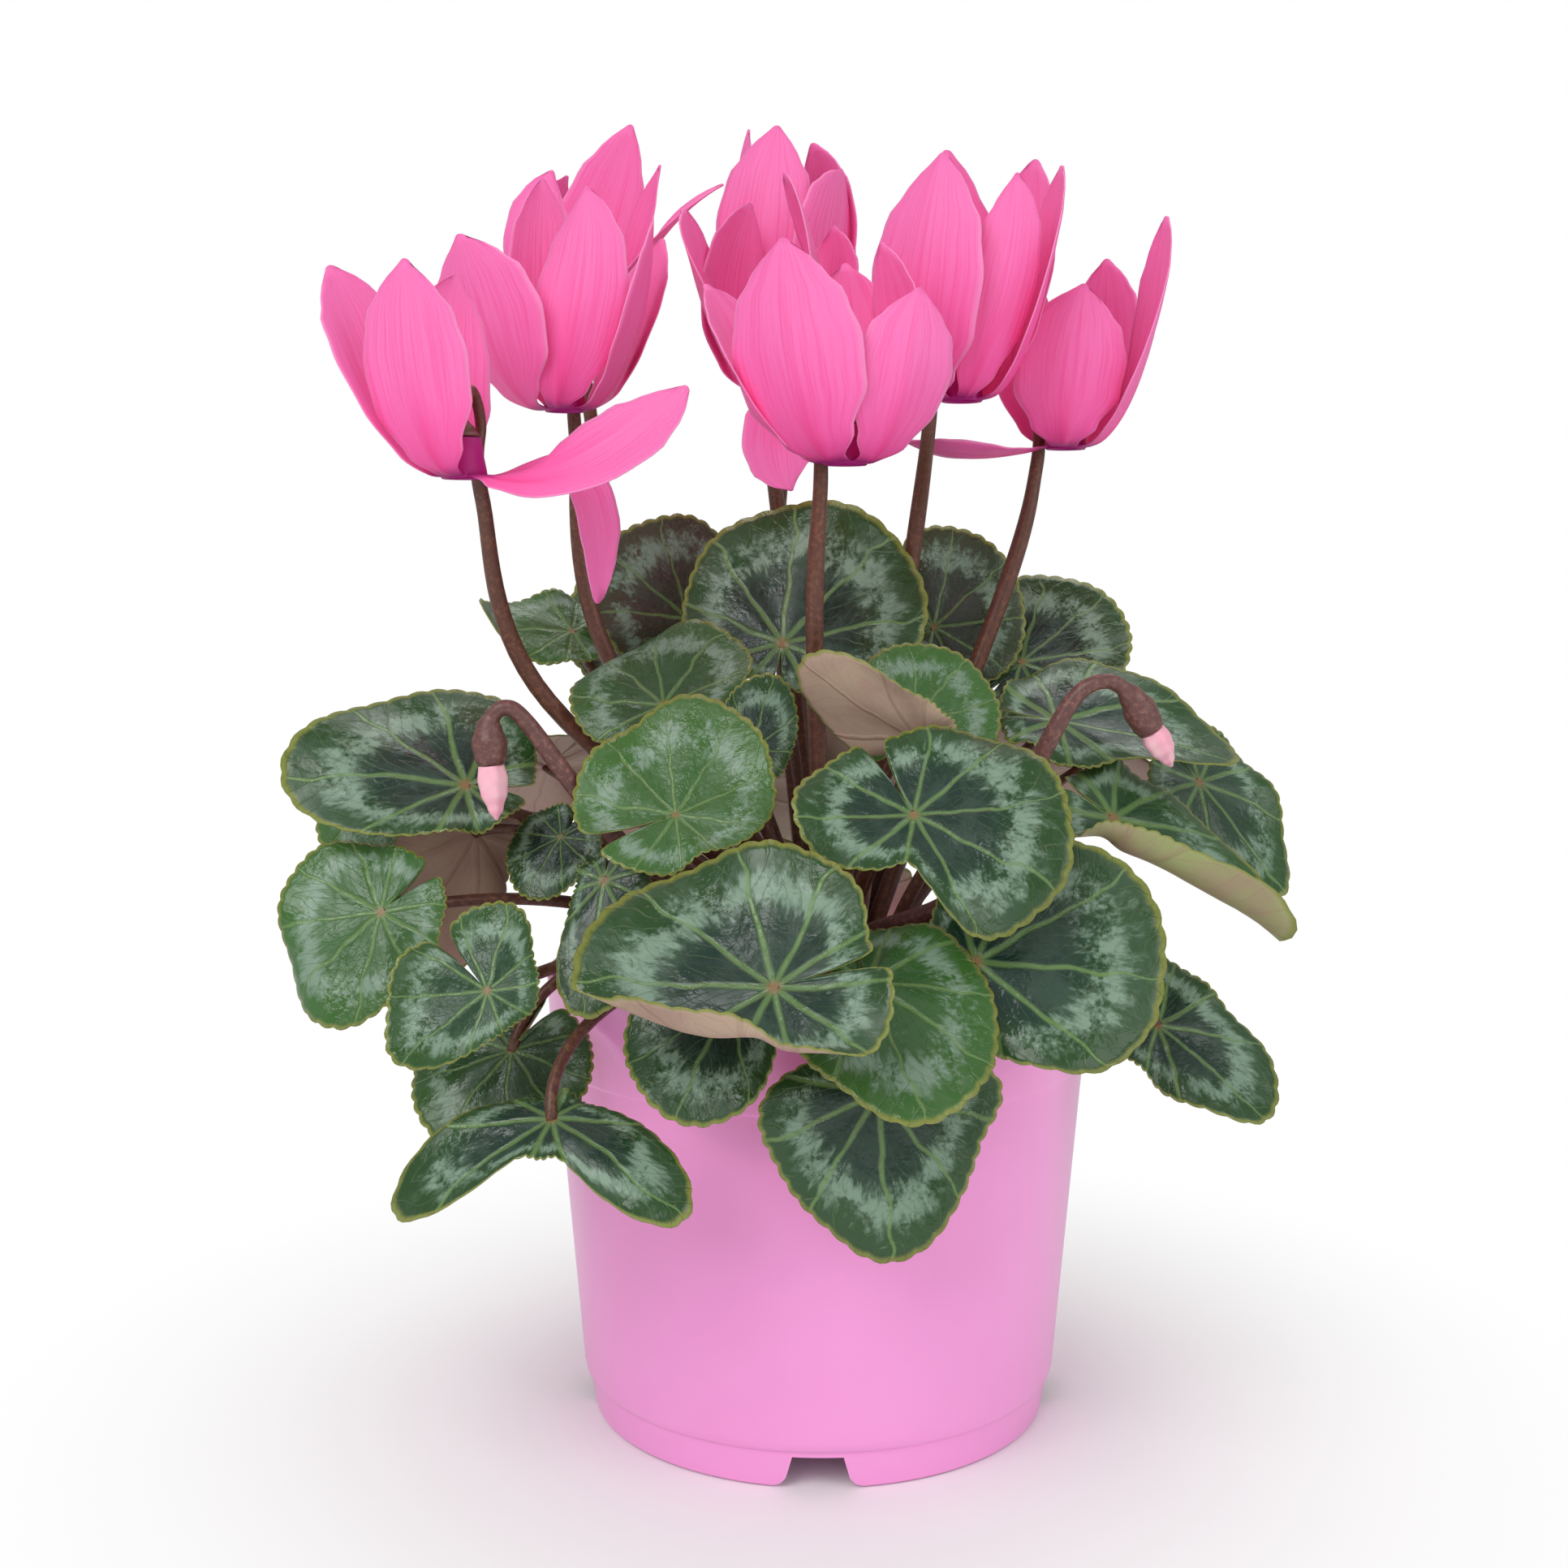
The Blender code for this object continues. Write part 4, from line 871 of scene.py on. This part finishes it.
def budScape(name, spec, mats):
    root, skin = tuberPoint(*spec["root"], above=0.4)
    points = [root, root + skin * 5 + Vector((0, 0, 3))] + [Vector(p) for p in spec["way"]]
    points += [Vector(spec["calyx"]), Vector(spec["end"])]
    return scapeTube(name + "Scape", points, scapeMake["budRadii"], mats, name + "_scape", skin)


budMake = {"rows": 20, "sides": 30, "ridge": 0.06, "gap": 0.3,
           "radii": ((0.0, 2.5), (0.25, 2.9), (0.5, 2.6), (0.8, 1.5), (1.0, 0.35))}


def bud(name, spec, mats):
    end, tip = Vector(spec["end"]), Vector(spec["tip"])
    down = unit(tip - end)
    start = end + down * budMake["gap"]
    bm = bmesh.new()
    steps = [i / budMake["rows"] for i in range(budMake["rows"] + 1)]
    radii = [fromTable(budMake["radii"], t) for t in steps]
    middles = [start.lerp(tip, t) for t in steps]
    tube(bm, middles, [down] * len(steps), radii, sideStart, budMake["sides"], ridge=budMake["ridge"])
    return finish("fine." + name + "Petals", bm, mats, name + "_petals")


# radius and height in mm, from the soil's floor up the inside, over the rim, down the wall and under the foot
potShape = {
    "steps": 192,
    "outer": ((60.0, 97.4), (59.95, 96.6), (59.05, 79.6), (58.85, 79.1), (58.35, 78.7), (58.25, 78.0),
              (52.75, 12.5), (52.6, 10.6), (52.3, 9.2), (51.7, 8.3), (51.25, 8.0), (50.9, 5.0),
              (50.4, 1.4), (50.1, 0.4), (49.6, 0.0)),
    "inner": ((48.9, 0.0), (48.6, 0.6), (49.4, 7.6), (48.9, 8.0), (0.0, 8.0)),
    "inside": ((0.0, 9.2), (48.5, 9.2), (50.2, 10.2), (50.6, 11.4), (56.8, 78.0), (57.6, 80.0),
               (58.45, 96.6), (58.9, 97.5), (59.5, 97.65)),
    "notches": 4, "notchHalf": 5.2, "notchTop": 7.0, "cutFrom": -43.0, "cutTo": -55.0, "sharp": 32,
}


def pot(mats):
    bm = bmesh.new()
    profile = list(potShape["inside"]) + list(potShape["outer"]) + list(potShape["inner"])
    points = [bm.verts.new((r, 0, z)) for r, z in profile]
    edges = [bm.edges.new(pair) for pair in zip(points, points[1:])]
    bmesh.ops.spin(bm, geom=points + edges, cent=(0, 0, 0), axis=(0, 0, 1), angle=math.tau,
                   steps=potShape["steps"], use_merge=True)
    bmesh.ops.remove_doubles(bm, verts=bm.verts, dist=0.001)
    shell = finish("fine.pot", bm, mats, "pot")
    cutters = bmesh.new()
    half = potShape["notchHalf"]
    high = potShape["notchTop"]
    outline = [(-half - 7, -1), (-half - 4, 0.15), (-half - 2.4, 0.9), (-half - 1.3, 2.2), (-half, high),
               (half, high), (half + 1.3, 2.2), (half + 2.4, 0.9), (half + 4, 0.15), (half + 7, -1)]
    for k in range(potShape["notches"]):
        turn = Matrix.Rotation(math.tau * k / potShape["notches"], 3, "Z")
        near = [cutters.verts.new(turn @ Vector((x, potShape["cutFrom"], z))) for x, z in outline]
        far = [cutters.verts.new(turn @ Vector((x, potShape["cutTo"], z))) for x, z in outline]
        joinRings(cutters, near, far)
        cutters.faces.new(near)
        cutters.faces.new(far)
    bmesh.ops.recalc_face_normals(cutters, faces=cutters.faces)
    bmesh.ops.scale(cutters, vec=Vector((mm, mm, mm)), verts=cutters.verts)
    bmesh.ops.translate(cutters, vec=origin, verts=cutters.verts)
    mesh = bpy.data.meshes.new("notchCutter")
    cutters.to_mesh(mesh)
    cutters.free()
    cutter = bpy.data.objects.new("notchCutter", mesh)
    bpy.context.collection.objects.link(cutter)
    cut = shell.modifiers.new("notches", "BOOLEAN")
    cut.operation = "DIFFERENCE"
    cut.object = cutter
    bpy.context.view_layer.update()
    done = bpy.data.meshes.new_from_object(shell.evaluated_get(bpy.context.evaluated_depsgraph_get()))
    shell.modifiers.clear()
    shell.data = done
    bpy.data.objects.remove(cutter, do_unlink=True)
    shell.data.set_sharp_from_angle(angle=math.radians(potShape["sharp"]))
    return shell


def roundMound(name, node, mats, heights, rough, seed):
    # a lathe form with a rough upper skin
    bm = bmesh.new()
    rings = []
    for r, z, free in heights:
        ring = []
        for k in range(120):
            a = math.tau * k / 120
            p = Vector((r * math.cos(a), r * math.sin(a), z))
            p.z += rough * free * noise.fractal(p * 0.22 + Vector((seed, 0, 0)), 0.8, 2.1, 5)
            ring.append(bm.verts.new(p))
        rings.append(ring)
    for a, b in zip(rings, rings[1:]):
        joinRings(bm, a, b)
    bm.faces.new(rings[0])
    bm.faces.new(rings[-1])
    return finish(name, bm, mats, node)


potSkin = plainSkin("potSkin", (1.0, 0.375, 0.78), (0.95, 0.335, 0.72), scale=9.0, rough=0.3, coat=0.35,
                    bump=0.02, depth=0.0002)
soilSkin = plainSkin("soilSkin", (0.045, 0.028, 0.018), (0.012, 0.008, 0.006), scale=260.0, rough=0.95,
                     bump=0.9, depth=0.002)
tuberSkin = plainSkin("tuberSkin", (0.16, 0.09, 0.05), (0.05, 0.028, 0.018), scale=160.0, rough=0.85,
                      bump=0.8, depth=0.001)
leafStalk = stalkSkin("leafStalk", (0.2, 0.09, 0.045), (0.1, 0.035, 0.022))
scapeSkin = stalkSkin("scapeSkin", (0.2, 0.07, 0.034), (0.11, 0.036, 0.02))
budScapeSkin = stalkSkin("budScapeSkin", (0.25, 0.11, 0.085), (0.13, 0.05, 0.045))
budSkin = plainSkin("budSkin", (1.0, 0.6, 0.66), (0.96, 0.42, 0.55), scale=120.0, rough=0.45,
                    bump=0.1, depth=0.0003)
leafMats = [leafTop(), leafUnder(), leafStalk]
petalMats = [petalSkin()]

pot([potSkin])
# radius, height and how rough, ring by ring: up the sides, then the rings of the top
soilShape = {
    "sides": [(0.5, 9.6, 0), (48.0, 9.6, 0), (50.1, 11.4, 0), (56.4, 78.0, 0), (57.2, 80.0, 0),
              (57.4, 86.0, 0.3)],
    "radius": 57.2, "level": 86.3, "crown": 1.4, "rings": 26, "rough": 1.1, "seed": 3.0,
}
soilRings = list(soilShape["sides"])
for k in range(soilShape["rings"]):
    radius = soilShape["radius"] * (1 - k / soilShape["rings"])
    soilRings.append((radius, soilShape["level"] + soilShape["crown"] * k / soilShape["rings"], 1.0))
roundMound("fine.soil", "soil", [soilSkin], soilRings, soilShape["rough"], soilShape["seed"])
tuberRings = [(0.5, tuberShape["base"], 0), (tuberShape["skin"], tuberShape["base"], 0)]
for k in range(1, tuberShape["rings"] + 1):
    climb = k / tuberShape["rings"] * tuberShape["climb"]
    rise = tuberShape["height"] * math.sin(climb)
    tuberRings.append((tuberShape["skin"] * math.cos(climb), tuberShape["base"] + rise, 1.0))
roundMound("fine.tuber", "tuber", [tuberSkin], tuberRings,
           tuberShape["rough"], tuberShape["seed"])
print("pot, soil and tuber made")

for number, (name, spec) in enumerate(leafPlaces.items()):
    leaf(name, spec, number, leafMats)
print("leaves made:", len(leafPlaces))

for number, (name, spec) in enumerate(flowerPlaces.items()):
    flowerScape(name, spec, [scapeSkin])
    corolla(name, spec, number, petalMats)
print("flowers made:", len(flowerPlaces))

for name, spec in budPlaces.items():
    budScape(name, spec, [budScapeSkin])
    bud(name, spec, [budSkin])
print("buds made:", len(budPlaces))

# lamps: name, place and size in metres, and watts
stageLook = {
    "floor": (0.97, 0.97, 0.97), "grain": (0.94, 0.94, 0.94), "fadeNear": 0.02, "fadeFar": 0.2, "sky": 0.42,
    "lamps": (("keyLamp", (-0.55, -0.9, 1.0), 0.9, 1.5 * 6), ("fillLamp", (0.9, -0.7, 0.6), 0.9, 0.6 * 6),
              ("topLamp", (0.1, 0.5, 1.2), 0.8, 0.6 * 6)),
    "aim": (0, 0, 0.15), "lens": 45.1, "sensor": 36, "eye": (0, -430, 183), "down": 0.1044, "aside": 0.018,
}


def stageSet():
    bpy.ops.mesh.primitive_plane_add(size=40, location=(0, 0, potLow.z - 0.0002))
    floor = bpy.context.object
    floor.name = "floor"
    s = Shade("floorPaper", 0.8)
    grain = s.noise(s.place(), 3.0, 2.0)
    s.put(s.bsdf, "Base Color", s.mix(grain, stageLook["floor"], stageLook["grain"]))
    glow = s.tree.nodes.new("ShaderNodeEmission")
    lit = s.tree.nodes.new("ShaderNodeMixShader")
    far = s.tree.nodes.new("ShaderNodeVectorMath")
    far.operation = "LENGTH"
    s.put(far, 0, s.place())
    seen = s.tree.nodes.new("ShaderNodeLightPath").outputs["Is Camera Ray"]
    fade = s.ramp(far.outputs["Value"], stageLook["fadeNear"], stageLook["fadeFar"])
    s.put(lit, 0, s.calc("MULTIPLY", seen, fade))
    s.tree.links.new(s.bsdf.outputs[0], lit.inputs[1])
    s.tree.links.new(glow.outputs[0], lit.inputs[2])
    s.tree.links.new(lit.outputs[0], s.tree.nodes["Material Output"].inputs["Surface"])
    floor.data.materials.append(s.mat)
    world = bpy.data.worlds.new("studio")
    bpy.context.scene.world = world
    world.use_nodes = True
    tree = world.node_tree
    back = tree.nodes["Background"]
    back.inputs[0].default_value = (1, 1, 1, 1)
    path = tree.nodes.new("ShaderNodeLightPath")
    direct = tree.nodes.new("ShaderNodeMath")
    direct.operation = "MAXIMUM"
    tree.links.new(path.outputs["Is Camera Ray"], direct.inputs[0])
    tree.links.new(path.outputs["Is Transmission Ray"], direct.inputs[1])
    level = tree.nodes.new("ShaderNodeMapRange")
    level.inputs["To Min"].default_value = stageLook["sky"]
    level.inputs["To Max"].default_value = 1.0
    tree.links.new(direct.outputs[0], level.inputs["Value"])
    tree.links.new(level.outputs[0], back.inputs[1])
    for name, place, size, watts in stageLook["lamps"]:
        data = bpy.data.lights.new(name, "AREA")
        data.size = size
        data.energy = watts
        lamp = bpy.data.objects.new(name, data)
        lamp.location = place
        lamp.rotation_euler = (Vector(stageLook["aim"]) - Vector(place)).to_track_quat("-Z", "Y").to_euler()
        bpy.context.collection.objects.link(lamp)
    camera = bpy.data.objects.new("camera", bpy.data.cameras.new("camera"))
    camera.data.lens = stageLook["lens"]
    camera.data.sensor_width = stageLook["sensor"]
    camera.location = origin + Vector(stageLook["eye"]) * mm
    camera.rotation_euler = (math.pi / 2 - stageLook["down"], 0, stageLook["aside"])
    bpy.context.collection.objects.link(camera)
    bpy.context.scene.camera = camera
    bpy.context.scene.view_settings.view_transform = "Standard"


stageSet()
print("stage set")
